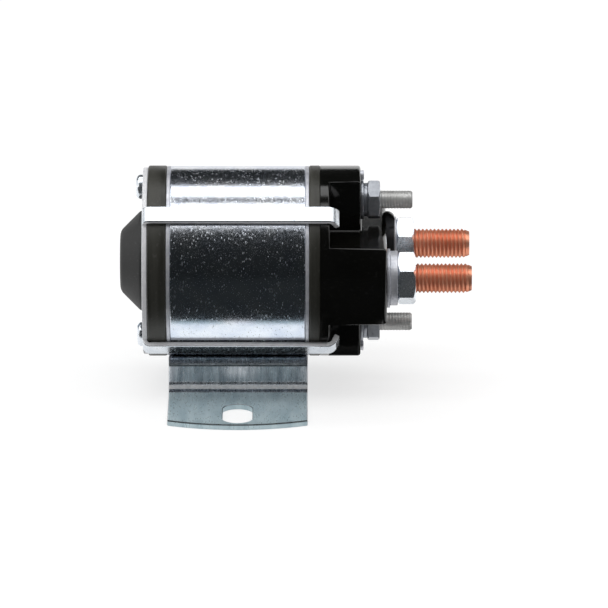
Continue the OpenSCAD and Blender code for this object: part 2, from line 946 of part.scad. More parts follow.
module spring(mean_r, length, turns) {
  wire_r = spring_wire / 2;
  rings = turns * turn_rings;
  rise = length - spring_wire;
  tilt = atan(rise / (turns * 2 * PI * mean_r));
  points = [for (i = [0:rings], j = [0:wire_sides - 1])
    let (
      turn = 360 * i / turn_rings,
      side = 360 * j / wire_sides,
      out = wire_r * cos(side),
      up = wire_r * sin(side)
    )
    [
      (mean_r + out) * cos(turn) + up * sin(tilt) * sin(turn),
      (mean_r + out) * sin(turn) - up * sin(tilt) * cos(turn),
      wire_r + rise * i / rings + up * cos(tilt)
    ]];
  skin = [for (i = [0:rings - 1], j = [0:wire_sides - 1], half = [0, 1])
    let (
      k = (j + 1) % wire_sides,
      here = i * wire_sides,
      next = here + wire_sides
    )
    half == 0 ? [here + j, next + j, next + k] : [here + j, next + k, here + k]];
  last = rings * wire_sides;
  start_cap = [for (j = [1:wire_sides - 2]) [0, j, j + 1]];
  end_cap_faces = [for (j = [1:wire_sides - 2]) [last, last + j + 1, last + j]];
  polyhedron(points = points, faces = concat(skin, start_cap, end_cap_faces), convexity = 10);
}

module return_spring() {
  start = plunger_front - plunger_seat_depth + run_gap;
  finish = core_x + core_seat_depth - run_gap;
  color("Silver")
    on_axis(start)
      spring(spring_mean_r, finish - start, return_turns);
}

module contact_spring() {
  start = seat_front + run_gap;
  finish = bush_back - run_gap;
  color("Silver")
    on_axis(start)
      spring(spring_mean_r, finish - start, contact_turns);
}

end_cap();
cap_gasket();
end_frame();
end_screws();
rear_insulator();
rear_flux_plate();
can();
bobbin();
winding();
coil_leads();
guide_tube();
fixed_core();
front_flux_plate();
front_insulator();
mounting_bracket();
contact_housing();
line_stud();
load_stud();
main_flat_washers();
main_lock_washers();
main_nuts();
coil_terminal_upper();
coil_terminal_lower();
coil_flat_washers();
coil_lock_washers();
coil_nuts();
plunger();
plunger_shaft();
spring_seat();
shaft_clip();
bridge_retainer();
contact_bridge();
bridge_bushing();
contact_spring();
return_spring();
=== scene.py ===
import math

import bmesh
import bpy
from bmesh.types import BMEdge, BMFace, BMVert
from mathutils import Matrix, Vector


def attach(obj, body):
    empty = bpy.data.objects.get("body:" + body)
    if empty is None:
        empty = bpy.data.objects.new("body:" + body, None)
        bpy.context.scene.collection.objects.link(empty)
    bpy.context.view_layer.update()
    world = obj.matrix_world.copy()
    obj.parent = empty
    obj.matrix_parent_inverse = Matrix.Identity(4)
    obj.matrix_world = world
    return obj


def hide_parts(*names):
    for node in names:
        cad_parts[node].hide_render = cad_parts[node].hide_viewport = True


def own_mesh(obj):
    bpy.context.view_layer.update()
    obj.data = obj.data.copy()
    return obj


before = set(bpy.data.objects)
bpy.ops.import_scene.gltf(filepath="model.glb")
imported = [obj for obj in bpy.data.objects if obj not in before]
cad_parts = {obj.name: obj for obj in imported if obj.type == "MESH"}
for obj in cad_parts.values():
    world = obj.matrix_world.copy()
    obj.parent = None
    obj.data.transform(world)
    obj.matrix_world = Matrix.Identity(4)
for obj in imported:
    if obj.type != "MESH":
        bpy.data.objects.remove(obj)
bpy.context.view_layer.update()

# Pieces are drawn in millimetres around the can's axis, which lies along X.
mm = 0.001
axisHeight = 34.2
onAxis = Matrix.Translation((0, 0, axisHeight * mm)) @ Matrix.Scale(mm, 4)
onFeet = Matrix.Scale(mm, 4)
origin = (0, 0, 0)
alongX = (1, 0, 0)

# distances in mm: doubles, points on one spot, nearly level edges, a margin for choosing faces,
# how far a cutter passes what it cuts, and the least length of an edge along X
tiny = 1e-4
spotSize = 1e-3
nearly = 0.01
margin = 0.1
past = 1
longEdge = 1
print("frame loaded,", len(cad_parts), "nodes")


# Modelling helpers

def only(geom, kind):
    return [g for g in geom if isinstance(g, kind)]


def cleanMesh(bm, distance=tiny):
    bmesh.ops.remove_doubles(bm, verts=bm.verts[:], dist=distance)
    bmesh.ops.recalc_face_normals(bm, faces=bm.faces[:])


def moveMesh(bm, step, verts=None):
    bmesh.ops.translate(bm, vec=step, verts=verts or bm.verts[:])


def turnMesh(bm, degrees, axis="X", verts=None):
    bmesh.ops.rotate(bm, cent=origin, matrix=Matrix.Rotation(math.radians(degrees), 3, axis),
                     verts=verts or bm.verts[:])


def splitMesh(bm, spot, normal, trim=False):
    bmesh.ops.bisect_plane(bm, geom=bm.verts[:] + bm.edges[:] + bm.faces[:], plane_co=spot,
                           plane_no=normal, clear_outer=trim, dist=1e-5)


def fillEnds(bm):
    bmesh.ops.holes_fill(bm, edges=[e for e in bm.edges if e.is_boundary], sides=0)


def mergeFlat(bm):
    bmesh.ops.dissolve_limit(bm, angle_limit=math.radians(0.5), verts=bm.verts[:], edges=bm.edges[:])


def box(*size):
    bm = bmesh.new()
    bmesh.ops.create_cube(bm, size=1)
    bmesh.ops.scale(bm, vec=size, verts=bm.verts[:])
    return bm


def section(low, high, inner, outer):
    return [(low, inner), (low, outer), (high, outer), (high, inner)]


def lathe(outline, steps=96, centre=(0, 0), closed=True):
    # outline holds (x, radius) points, turned about a line parallel to X
    bm = bmesh.new()
    verts = [bm.verts.new((x, centre[0] + r, centre[1])) for x, r in outline]
    edges = [bm.edges.new(pair) for pair in zip(verts, verts[1:])]
    if closed:
        edges.append(bm.edges.new((verts[-1], verts[0])))
    bmesh.ops.spin(bm, geom=verts + edges, cent=(0, *centre), axis=alongX,
                   angle=math.tau, steps=steps, use_merge=True)
    cleanMesh(bm)
    return bm


def roundEdges(bm, edges, width, segments=3):
    bmesh.ops.bevel(bm, geom=edges, offset=width, offset_type="OFFSET", segments=segments,
                    profile=0.5, affect="EDGES", material=-1, clamp_overlap=True)


def roundRing(bm, x, radius, width, segments=3, centre=(0, 0)):
    def onRing(v):
        reach = math.hypot(v.co.y - centre[0], v.co.z - centre[1])
        return abs(v.co.x - x) < spotSize and abs(reach - radius) < spotSize

    roundEdges(bm, [e for e in bm.edges if all(onRing(v) for v in e.verts)], width, segments)


def sharpEdges(bm, degrees, test=None):
    limit = math.radians(degrees)
    return [e for e in bm.edges
            if len(e.link_faces) == 2 and e.calc_face_angle(0) > limit and (test is None or test(e))]


def between(value, limits):
    return limits[0] < value < limits[1]


def span(e, axis=0):
    return abs(e.verts[0].co[axis] - e.verts[1].co[axis])


def offAxis(v):
    return math.hypot(v.co.y, v.co.z)


def addObject(name, data):
    obj = bpy.data.objects.new(name, data)
    bpy.context.scene.collection.objects.link(obj)
    return obj


def meshObject(name, bm):
    mesh = bpy.data.meshes.new(name)
    bm.to_mesh(mesh)
    bm.free()
    return addObject(name, mesh)


def modified(obj, *tools):
    # the object's mesh after its modifier; the objects are used up
    bm = bmesh.new()
    shown = obj.evaluated_get(bpy.context.evaluated_depsgraph_get())
    bm.from_mesh(shown.to_mesh())
    shown.to_mesh_clear()
    for used in (obj, *tools):
        mesh = used.data
        bpy.data.objects.remove(used)
        bpy.data.meshes.remove(mesh)
    return bm


def filletedBy(bm, widths):
    # widths holds (edges, width) pairs; one weighted bevel rounds them together
    widest = max(width for _, width in widths)
    bm.edges.index_update()
    numbered = [([edge.index for edge in edges], width) for edges, width in widths]
    weight = bm.edges.layers.float.new("bevel_weight_edge")
    bm.edges.ensure_lookup_table()
    for indices, width in numbered:
        for index in indices:
            bm.edges[index][weight] = width / widest
    obj = meshObject("sharp", bm)
    rounding = obj.modifiers.new("rounding", "BEVEL")
    rounding.limit_method = "WEIGHT"
    rounding.width = widest
    rounding.segments = 4
    rounding.use_clamp_overlap = False
    return modified(obj)


def combine(target, tool, operation="DIFFERENCE"):
    # boolean of two meshes, both used up
    cleanMesh(target, 1e-5)
    cleanMesh(tool, 1e-5)
    first, second = meshObject("target", target), meshObject("tool", tool)
    cut = first.modifiers.new("cut", "BOOLEAN")
    cut.operation = operation
    cut.solver = "EXACT"
    cut.object = second
    result = modified(first, second)
    bmesh.ops.remove_doubles(result, verts=result.verts[:], dist=tiny)
    return result


def join(bm, other):
    # adds the second mesh's shells to the first
    mesh = bpy.data.meshes.new("joined")
    other.to_mesh(mesh)
    other.free()
    bm.from_mesh(mesh)
    bpy.data.meshes.remove(mesh)


def makePiece(name, bm, materials, nodes, place=onAxis, sharp=32, body="frame"):
    cleanMesh(bm)
    bmesh.ops.transform(bm, matrix=place, verts=bm.verts[:])
    for face in bm.faces:
        face.smooth = True
    piece = meshObject(name, bm)
    piece.data.set_sharp_from_angle(angle=math.radians(sharp))
    for material in materials if isinstance(materials, list) else [materials]:
        piece.data.materials.append(material)
    flatter = piece.modifiers.new("faceWeightedNormals", "WEIGHTED_NORMAL")
    flatter.keep_sharp = True
    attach(piece, body)
    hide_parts(*nodes)
    return piece


# Shader groups shared by several finishes

def newGroup(name, inputs, outputs):
    group = bpy.data.node_groups.new(name, "ShaderNodeTree")
    for label, value in inputs.items():
        kind = "NodeSocketVector" if isinstance(value, tuple) else "NodeSocketFloat"
        group.interface.new_socket(label, in_out="INPUT", socket_type=kind).default_value = value
    for label in outputs:
        group.interface.new_socket(label, in_out="OUTPUT", socket_type="NodeSocketFloat")
    return group, group.nodes.new("NodeGroupInput").outputs, group.nodes.new("NodeGroupOutput").inputs


def send(tree, sockets, values):
    for label, value in values.items():
        tree.links.new(value, sockets[label])


def addNode(tree, kind, settings=None, inputs=None):
    node = tree.nodes.new(kind)
    for key, value in (settings or {}).items():
        setattr(node, key, value)
    for key, value in (inputs or {}).items():
        if isinstance(value, bpy.types.NodeSocket):
            tree.links.new(value, node.inputs[key])
        else:
            node.inputs[key].default_value = value
    return node


def math2(tree, operation, a, b):
    return addNode(tree, "ShaderNodeMath", {"operation": operation}, {0: a, 1: b}).outputs[0]


def remap(tree, value, fromLow, fromHigh, toLow=0.0, toHigh=1.0):
    return addNode(tree, "ShaderNodeMapRange", {"clamp": True}, {
        "Value": value, "From Min": fromLow, "From Max": fromHigh,
        "To Min": toLow, "To Max": toHigh}).outputs["Result"]


def noise(tree, vector, scale, detail=2.0, roughness=0.5):
    return addNode(tree, "ShaderNodeTexNoise", None, {
        "Vector": vector, "Scale": scale, "Detail": detail, "Roughness": roughness}).outputs["Fac"]


def objectPoint(tree):
    return addNode(tree, "ShaderNodeTexCoord").outputs["Object"]


def mapped(tree, vector, inputs):
    return addNode(tree, "ShaderNodeMapping", None, {"Vector": vector, **inputs}).outputs[0]


def mixColour(tree, factor, first, second):
    first, second = ((*c, 1) if isinstance(c, tuple) else c for c in (first, second))
    node = addNode(tree, "ShaderNodeMix", {"data_type": "RGBA"}, {0: factor, 6: first, 7: second})
    return node.outputs[2]


# cloudy plating: large soft patches, fine grain and short slanting scratches
platingGroup, given, result = newGroup("platingGrain", {
    "Stretch": (1.0, 1.0, 1.0), "Grain Scale": 1200.0, "Cloud Scale": 120.0}, ["Cloud", "Grain", "Speck"])
where = objectPoint(platingGroup)
stretched = mapped(platingGroup, where, {"Scale": given["Stretch"]})
cloud = noise(platingGroup, stretched, given["Cloud Scale"], 3.0, 0.55)
grain = noise(platingGroup, stretched, given["Grain Scale"], 4.0, 0.65)
slanted = mapped(platingGroup, where, {"Rotation": (0.0, 0.6, 0.0), "Scale": (1.0, 0.7, 0.42)})
dots = addNode(platingGroup, "ShaderNodeTexVoronoi", {"feature": "F1"}, {
    "Vector": slanted, "Scale": 1900.0, "Randomness": 1.0})
speck = remap(platingGroup, dots.outputs["Distance"], 0.34, 0.16)
chosen = remap(platingGroup, noise(platingGroup, where, 800.0), 0.50, 0.60)
send(platingGroup, result, {
    "Cloud": cloud, "Grain": grain, "Speck": math2(platingGroup, "MULTIPLY", speck, chosen)})

# rubbed corners and painted edge highlights, from the mesh's own pointiness
wearAndHighlightGroup, given, result = newGroup("rubbedAndHighlightedEdges", {"Amount": 0.5, "Start": 0.52}, ["Mask"])
pointed = addNode(wearAndHighlightGroup, "ShaderNodeNewGeometry").outputs["Pointiness"]
raised = remap(wearAndHighlightGroup, pointed, given["Start"], math2(wearAndHighlightGroup, "ADD", given["Start"], 0.08))
broken = remap(wearAndHighlightGroup, noise(wearAndHighlightGroup, objectPoint(wearAndHighlightGroup), 500.0, 3.0), 0.35, 0.65, 0.3, 1.0)
rubbingAndHighlight = math2(wearAndHighlightGroup, "MULTIPLY", raised, broken)
send(wearAndHighlightGroup, result, {"Mask": math2(wearAndHighlightGroup, "MULTIPLY", rubbingAndHighlight, given["Amount"])})

# moulded or pressed surface: fine pebble and faint dust
pebbleGroup, given, result = newGroup("pebbleAndDust", {
    "Pebble Scale": 1500.0, "Dust": 0.1, "Patch Stretch": (1.0, 1.0, 1.0), "Patch Scale": 90.0},
    ["Height", "Dust", "Patch"])
where = objectPoint(pebbleGroup)
pebble = noise(pebbleGroup, where, given["Pebble Scale"], 3.0, 0.6)
drawn = mapped(pebbleGroup, where, {"Scale": given["Patch Stretch"]})
patch = noise(pebbleGroup, drawn, given["Patch Scale"], 3.0)
motes = remap(pebbleGroup, noise(pebbleGroup, where, 1100.0), 0.62, 0.74)
send(pebbleGroup, result, {
    "Height": pebble, "Dust": math2(pebbleGroup, "MULTIPLY", motes, given["Dust"]), "Patch": patch})


def newMaterial(name, inputs):
    material = bpy.data.materials.new(name)
    material.use_nodes = True
    tree = material.node_tree
    shader = tree.nodes["Principled BSDF"].inputs
    for key, value in inputs.items():
        shader[key].default_value = value
    return material, tree, shader


def useGroup(tree, group, inputs):
    node = tree.nodes.new("ShaderNodeGroup")
    node.node_tree = group
    for key, value in inputs.items():
        node.inputs[key].default_value = value
    return node.outputs


# patches of dark and light, then the rubbed colour on pointed edges: wear, and on the black housing
# painted edge highlights
def rubbedAndHighlightedColour(tree, look, patchiness):
    patches = remap(tree, patchiness, 0.35, 0.65)
    colour = mixColour(tree, patches, look["dark"], look["light"])
    wearAndHighlight = useGroup(tree, wearAndHighlightGroup, {"Amount": look["wearAndHighlight"], "Start": look["wearAndHighlightStart"]})
    return mixColour(tree, wearAndHighlight["Mask"], colour, look["rubbedAndHighlight"])


def bumped(tree, look, height):
    return addNode(tree, "ShaderNodeBump", None, {
        "Height": height, "Strength": look["bump"], "Distance": look["bumpDepth"]}).outputs[0]


# what a finish has unless it says otherwise
usual = {"wearAndHighlight": 0.3, "wearAndHighlightStart": 0.52, "bump": 0.1, "bumpDepth": 0.0001}
usualMetal = {**usual, "metallic": 1.0, "slantTint": (1, 1, 1), "stretch": (1, 1, 1), "grainScale": 1200,
              "cloudScale": 120, "speck": 0.2, "speckHeight": 0.6}
usualMoulding = {**usual, "pebbleScale": 1500, "patchStretch": (1, 1, 1), "patchScale": 90,
                 "dustColour": (0.4, 0.4, 0.4)}


def metalFinish(name, changes):
    look = {**usualMetal, "rubbedAndHighlight": changes["light"], **changes}
    material, tree, shader = newMaterial(name, {
        "Metallic": look["metallic"], "Specular Tint": (*look["slantTint"], 1)})
    plating = useGroup(tree, platingGroup, {
        "Stretch": look["stretch"], "Grain Scale": look["grainScale"], "Cloud Scale": look["cloudScale"]})
    rough = remap(tree, plating["Grain"], 0.3, 0.7, *look["roughness"])
    roughSpeck = math2(tree, "MULTIPLY", plating["Speck"], look["speck"])
    highSpeck = math2(tree, "MULTIPLY", plating["Speck"], look["speckHeight"])
    send(tree, shader, {
        "Base Color": rubbedAndHighlightedColour(tree, look, plating["Cloud"]),
        "Roughness": math2(tree, "ADD", rough, roughSpeck),
        "Normal": bumped(tree, look, math2(tree, "ADD", plating["Grain"], highSpeck))})
    return material


def mouldedFinish(name, changes):
    look = {**usualMoulding, **changes}
    material, tree, shader = newMaterial(name, {})
    pebble = useGroup(tree, pebbleGroup, {
        "Pebble Scale": look["pebbleScale"], "Dust": look["dust"],
        "Patch Stretch": look["patchStretch"], "Patch Scale": look["patchScale"]})
    rubbedAndHighlight = rubbedAndHighlightedColour(tree, look, pebble["Patch"])
    send(tree, shader, {
        "Base Color": mixColour(tree, pebble["Dust"], rubbedAndHighlight, look["dustColour"]),
        "Roughness": remap(tree, pebble["Patch"], 0.3, 0.7, *look["roughness"]),
        "Normal": bumped(tree, look, pebble["Height"])})
    return material


canZinc = metalFinish("canZinc", {
    "light": (0.86, 0.89, 0.94), "dark": (0.70, 0.75, 0.85), "rubbedAndHighlight": (0.86, 0.89, 0.92),
    "roughness": (0.13, 0.25), "cloudScale": 160, "grainScale": 1500, "speck": 0.4,
    "speckHeight": 1.5, "bump": 0.24, "bumpDepth": 0.00006, "wearAndHighlight": 0.2})
strapZinc = metalFinish("strapZinc", {
    "light": (0.82, 0.86, 0.90), "dark": (0.68, 0.73, 0.79), "rubbedAndHighlight": (0.92, 0.94, 0.95),
    "roughness": (0.16, 0.28), "cloudScale": 220, "grainScale": 1400, "bump": 0.2,
    "bumpDepth": 0.00006})
bracketZinc = metalFinish("bracketZinc", {
    "light": (0.68, 0.71, 0.75), "dark": (0.38, 0.41, 0.45), "rubbedAndHighlight": (0.94, 0.96, 0.98),
    "metallic": 0.95, "roughness": (0.22, 0.34), "stretch": (1.0, 0.16, 0.16), "cloudScale": 700,
    "grainScale": 1900, "speck": 0.15, "bump": 0.3, "bumpDepth": 0.00008, "wearAndHighlight": 0.5})
footZinc = metalFinish("footZinc", {
    "light": (0.67, 0.82, 0.87), "dark": (0.50, 0.65, 0.71), "rubbedAndHighlight": (0.90, 0.94, 0.96),
    "metallic": 0.3, "roughness": (0.24, 0.36), "stretch": (1.0, 0.22, 0.22), "cloudScale": 330,
    "grainScale": 1900, "speck": 0.1, "bump": 0.25, "bumpDepth": 0.00008, "wearAndHighlight": 0.5})
# bright white on the inside of the foot's bend: a painted highlight, the bend's glint
bendHighlightZinc = metalFinish("bendHighlightZinc", {
    "light": (1.0, 1.0, 1.0), "dark": (0.84, 0.86, 0.88), "rubbedAndHighlight": (0.98, 0.98, 1.0),
    "metallic": 0.0, "roughness": (0.2, 0.4), "cloudScale": 900, "grainScale": 900, "speck": 0.1,
    "bump": 0.4, "wearAndHighlight": 0.0})
# dark zinc on the crest and on the foot's front rounding: painted shade
crestShadeZinc = metalFinish("crestShadeZinc", {
    "light": (0.34, 0.37, 0.39), "dark": (0.22, 0.24, 0.26), "metallic": 0.9,
    "roughness": (0.24, 0.36), "cloudScale": 500, "bump": 0.2})
# pale, rough finish of the sheet's cut edges, made lighter than the cut as a painted highlight on the
# strap sides and the plate's rim
paleEdgeHighlight = metalFinish("paleEdgeHighlight", {
    "light": (0.98, 0.98, 1.0), "dark": (0.84, 0.85, 0.88), "metallic": 0.15, "roughness": (0.40, 0.55),
    "cloudScale": 500, "grainScale": 2200, "speck": 0.1, "bump": 0.4, "wearAndHighlight": 0.2})
cutEdge = metalFinish("cutEdge", {
    "light": (0.90, 0.92, 0.95), "dark": (0.72, 0.75, 0.80), "rubbedAndHighlight": (0.94, 0.95, 0.97),
    "metallic": 0.3, "roughness": (0.45, 0.60), "cloudScale": 500, "grainScale": 2200, "speck": 0.1,
    "bump": 0.5})
nutZinc = metalFinish("nutZinc", {
    "light": (0.90, 0.94, 0.99), "dark": (0.74, 0.80, 0.86), "rubbedAndHighlight": (0.95, 0.96, 0.98),
    "metallic": 0.9, "roughness": (0.18, 0.30), "cloudScale": 300, "grainScale": 1600, "speck": 0.15,
    "bump": 0.15, "bumpDepth": 0.00005, "wearAndHighlight": 0.4})
satinZinc = metalFinish("satinZinc", {
    "light": (0.80, 0.81, 0.86), "dark": (0.60, 0.62, 0.68), "rubbedAndHighlight": (0.92, 0.93, 0.96),
    "metallic": 0.6, "roughness": (0.36, 0.52), "cloudScale": 420, "grainScale": 1900, "speck": 0.15,
    "bump": 0.35, "bumpDepth": 0.00008, "wearAndHighlight": 0.4})
# darker, duller copy of the nut zinc for the coil washers and nuts: the darkness is painted shade
smallNutShadedZinc = metalFinish("smallNutShadedZinc", {
    "light": (0.46, 0.48, 0.52), "dark": (0.32, 0.34, 0.38), "rubbedAndHighlight": (0.76, 0.78, 0.82),
    "metallic": 0.75, "roughness": (0.26, 0.42), "cloudScale": 420, "grainScale": 1900,
    "bump": 0.25, "bumpDepth": 0.00006, "wearAndHighlight": 0.4})
copperBright = metalFinish("copperBright", {
    "light": (1.0, 0.45, 0.29), "dark": (0.97, 0.38, 0.23), "rubbedAndHighlight": (1.0, 0.52, 0.36),
    "metallic": 0.72, "roughness": (0.34, 0.46), "cloudScale": 260, "grainScale": 1600, "speck": 0.1,
    "bump": 0.12, "bumpDepth": 0.00005, "wearAndHighlight": 0.4, "slantTint": (0.30, 0.10, 0.06)})
terminalSteel = metalFinish("terminalSteel", {
    "light": (0.66, 0.66, 0.65), "dark": (0.54, 0.54, 0.53), "rubbedAndHighlight": (0.78, 0.78, 0.77),
    "metallic": 0.45, "roughness": (0.36, 0.50), "cloudScale": 260, "grainScale": 1800, "speck": 0.1,
    "bump": 0.12, "bumpDepth": 0.00005, "slantTint": (0.3, 0.3, 0.3)})
coreIron = metalFinish("coreIron", {
    "light": (0.45, 0.45, 0.46), "dark": (0.30, 0.30, 0.32), "roughness": (0.30, 0.45),
    "stretch": (0.1, 1.0, 1.0), "bump": 0.15})
guideBrass = metalFinish("guideBrass", {
    "light": (0.80, 0.60, 0.28), "dark": (0.66, 0.47, 0.20), "roughness": (0.22, 0.36),
    "stretch": (0.1, 1.0, 1.0)})
springSteel = metalFinish("springSteel", {
    "light": (0.62, 0.62, 0.63), "dark": (0.45, 0.45, 0.47), "roughness": (0.22, 0.34)})
windingWire = metalFinish("windingWire", {
    "light": (0.62, 0.22, 0.08), "dark": (0.42, 0.13, 0.05), "roughness": (0.24, 0.36),
    "stretch": (1.0, 0.2, 0.2)})
# its pale rubbed colour on the pointed edges paints the thin edge highlights as well as wear
housingBlack = mouldedFinish("housingBlack", {
    "light": (0.0048, 0.0046, 0.0040), "dark": (0.0032, 0.0032, 0.0026), "rubbedAndHighlight": (0.10, 0.10, 0.09),
    "roughness": (0.10, 0.16), "pebbleScale": 1400, "bump": 0.05, "dust": 0.02, "wearAndHighlight": 0.7,
    "wearAndHighlightStart": 0.57})
boardDark = mouldedFinish("boardDark", {
    "light": (0.046, 0.045, 0.037), "dark": (0.018, 0.018, 0.013), "rubbedAndHighlight": (0.09, 0.088, 0.075),
    "roughness": (0.34, 0.48), "patchStretch": (1.0, 0.05, 0.05), "patchScale": 330,
    "pebbleScale": 1800, "bump": 0.25, "dust": 0.06, "wearAndHighlight": 0.4})
capMatte = mouldedFinish("capMatte", {
    "light": (0.052, 0.052, 0.052), "dark": (0.037, 0.037, 0.037), "rubbedAndHighlight": (0.11, 0.11, 0.11),
    "roughness": (0.55, 0.70), "pebbleScale": 1600, "bump": 0.3, "dust": 0.05})
bobbinNylon = mouldedFinish("bobbinNylon", {
    "light": (0.78, 0.75, 0.66), "dark": (0.68, 0.65, 0.56), "rubbedAndHighlight": (0.85, 0.82, 0.75),
    "roughness": (0.38, 0.5), "bump": 0.08, "dust": 0.02})
gasketRubber = mouldedFinish("gasketRubber", {
    "light": (0.03, 0.03, 0.03), "dark": (0.02, 0.02, 0.02), "rubbedAndHighlight": (0.06, 0.06, 0.06),
    "roughness": (0.7, 0.85), "bump": 0.3, "dust": 0.05})
print("materials made")


# Can and flux plates

can = {"radius": 25.5, "wall": 1.2, "half": 18.1, "edge": 0.3, "steps": 160}


def makeCan():
    c = can
    bm = lathe(section(-c["half"], c["half"], c["radius"] - c["wall"], c["radius"]), c["steps"])
    for x in (-c["half"], c["half"]):
        roundRing(bm, x, c["radius"], c["edge"])
    makePiece("can_shell", bm, canZinc, ["can"])


flux = {"rim": 1.0, "spigot": 2.0, "clearance": 0.1, "edge": 0.35, "seatEdge": 0.1}


def makeFluxPlate(label, side, bore):
    radius = can["radius"]
    inside = radius - can["wall"] - flux["clearance"]
    face = side * (can["half"] + flux["rim"])
    seat = side * can["half"]
    deep = side * (can["half"] - flux["spigot"])
    bm = lathe([(face, bore), (face, radius), (seat, radius),
                (seat, inside), (deep, inside), (deep, bore)], can["steps"])
    roundRing(bm, face, radius, flux["edge"], 4)
    roundRing(bm, seat, radius, flux["seatEdge"], 2)
    makePiece(label + "_flux_rim", bm, satinZinc, [label + "_flux_plate"])


makeCan()
makeFluxPlate("rear", -1, 8.1)
makeFluxPlate("front", 1, 5.1)


# Insulators

rearBoard = {"from": -24.1, "to": -19.1, "radius": 25.6, "bore": 8.1, "recess": 15.2, "recessDepth": 1.8,
             "edge": 0.45}
frontBoard = {"from": 19.1, "to": 22.1, "radius": 25.6, "bore": 2.2, "edge": 0.45}


def makeInsulator(label, b):
    outline = section(b["from"], b["to"], b["bore"], b["radius"])
    if "recess" in b:
        floor = b["from"] + b["recessDepth"]
        outline = [(b["from"], b["recess"])] + outline[1:] + [(floor, b["bore"]), (floor, b["recess"])]
    bm = lathe(outline, can["steps"])
    for x in (b["from"], b["to"]):
        roundRing(bm, x, b["radius"], b["edge"], 4)
    makePiece(label + "_board", bm, boardDark, [label + "_insulator"])


makeInsulator("rear", rearBoard)
makeInsulator("front", frontBoard)


# End frame: the plate and four straps bent from one sheet

endFrame = {"sheet": 1.4, "plateBack": -25.5, "plateRadius": 25.1, "bore": 13.6, "rimEdge": 0.3,
            "boreEdge": 0.15, "rimDepth": 0.2, "screwRadius": 20.8}
strap = {"width": 4.6, "inner": 25.62, "inset": 0.02, "rootDepth": 3, "rootBend": 0.6, "tipBend": 1.2,
         "tipStart": 24.0, "tipAngle": 60, "tipRun": 2.0, "edge": 0.28, "turns": (45, 135, 225, 315),
         "sideNormal": 0.7, "middleStrip": (0.69, 0.73), "acrossSpan": 0.5}
plateFront = endFrame["plateBack"] + endFrame["sheet"]


def addStrap(bm, turn):
    # a strip's cross-section is extruded and spun round its bends, then turned into place
    s = strap
    half = s["width"] / 2
    low, high = endFrame["plateBack"] + s["inset"], plateFront - s["inset"]
    root = s["inner"] - s["rootBend"]
    bendX = plateFront + s["rootBend"]
    verts = [bm.verts.new((x, y, root - s["rootDepth"]))
             for x, y in ((low, -half), (low, half), (high, half), (high, -half))]
    face = bm.faces.new(verts)
    lid = bm.faces.new([bm.verts.new(v.co) for v in reversed(verts)])
    made = {*verts, *lid.verts}

    def run(faces, step):
        grown = bmesh.ops.extrude_face_region(bm, geom=faces)["geom"]
        moved = only(grown, BMVert)
        moveMesh(bm, step, moved)
        bmesh.ops.delete(bm, geom=faces, context="FACES_ONLY")
        made.update(moved)
        return only(grown, BMFace)

    def bend(faces, centre, angle, steps):
        before = set(bm.verts)
        edges = [e for g in faces for e in g.edges]
        corners = [v for g in faces for v in g.verts]
        grown = bmesh.ops.spin(bm, geom=faces + edges + corners, cent=centre, axis=(0, 1, 0),
                               angle=math.radians(angle), steps=steps)
        made.update(v for v in bm.verts if v not in before)
        bmesh.ops.delete(bm, geom=[g for g in faces if g.is_valid], context="FACES_ONLY")
        return only(grown["geom_last"], BMFace)

    at = run([face], (0, 0, s["rootDepth"]))
    at = bend(at, (bendX, 0, root), 90, 8)
    at = run(at, (s["tipStart"] - bendX, 0, 0))
    at = bend(at, (s["tipStart"], 0, s["inner"] - s["tipBend"]), s["tipAngle"], 6)
    angle = math.radians(s["tipAngle"])
    run(at, (s["tipRun"] * math.cos(angle), 0, -s["tipRun"] * math.sin(angle)))
    bm.normal_update()
    # the straps' cut sides take the pale edge finish with its painted highlight
    for face in bm.faces:
        if all(v in made for v in face.verts):
            face.material_index = abs(face.normal.y) > s["sideNormal"]
    turnMesh(bm, turn, verts=list(made))


def makeEndFrame():
    f = endFrame
    bm = bmesh.new()
    for turn in strap["turns"]:
        addStrap(bm, turn)
    cleanMesh(bm)
    middle = strap["inner"] + f["sheet"] / 2
    roundEdges(bm, sharpEdges(bm, 50, lambda e: max(offAxis(v) for v in e.verts) > middle
                              or span(e) < strap["acrossSpan"]), strap["edge"])
    # rounding leaves the finish of an edge's middle strip to chance, so it is set to the face's
    bm.normal_update()
    for face in bm.faces:
        spot = face.calc_center_median()
        sideways = face.normal.y * math.copysign(1, spot.z) - face.normal.z * math.copysign(1, spot.y)
        if between(abs(sideways) / math.sqrt(2), strap["middleStrip"]):
            face.material_index = 0
    plate = lathe(section(f["plateBack"], plateFront, f["bore"], f["plateRadius"]), can["steps"])
    for x in (f["plateBack"], plateFront):
        roundRing(plate, x, f["plateRadius"], f["rimEdge"])
        roundRing(plate, x, f["bore"], f["boreEdge"], 2)
    # the plate's outer rim takes the pale edge finish, a painted highlight
    for face in plate.faces:
        face.material_index = all(offAxis(v) > f["plateRadius"] - f["rimDepth"] for v in face.verts)
    join(bm, plate)
    makePiece("end_frame_sheet", bm, [strapZinc, paleEdgeHighlight], ["end_frame"])


makeEndFrame()


# Plunger cap and the two end screws

cap = {"tip": -31.7, "tipRadius": 8.0, "footRadius": 13.5, "slope": 5.5, "wall": 1.6, "flange": 15.1,
       "seat": -24.1, "flangeDepth": 1.2, "bore": 7.85, "edge": 1.1, "shoulderEdge": 0.6}


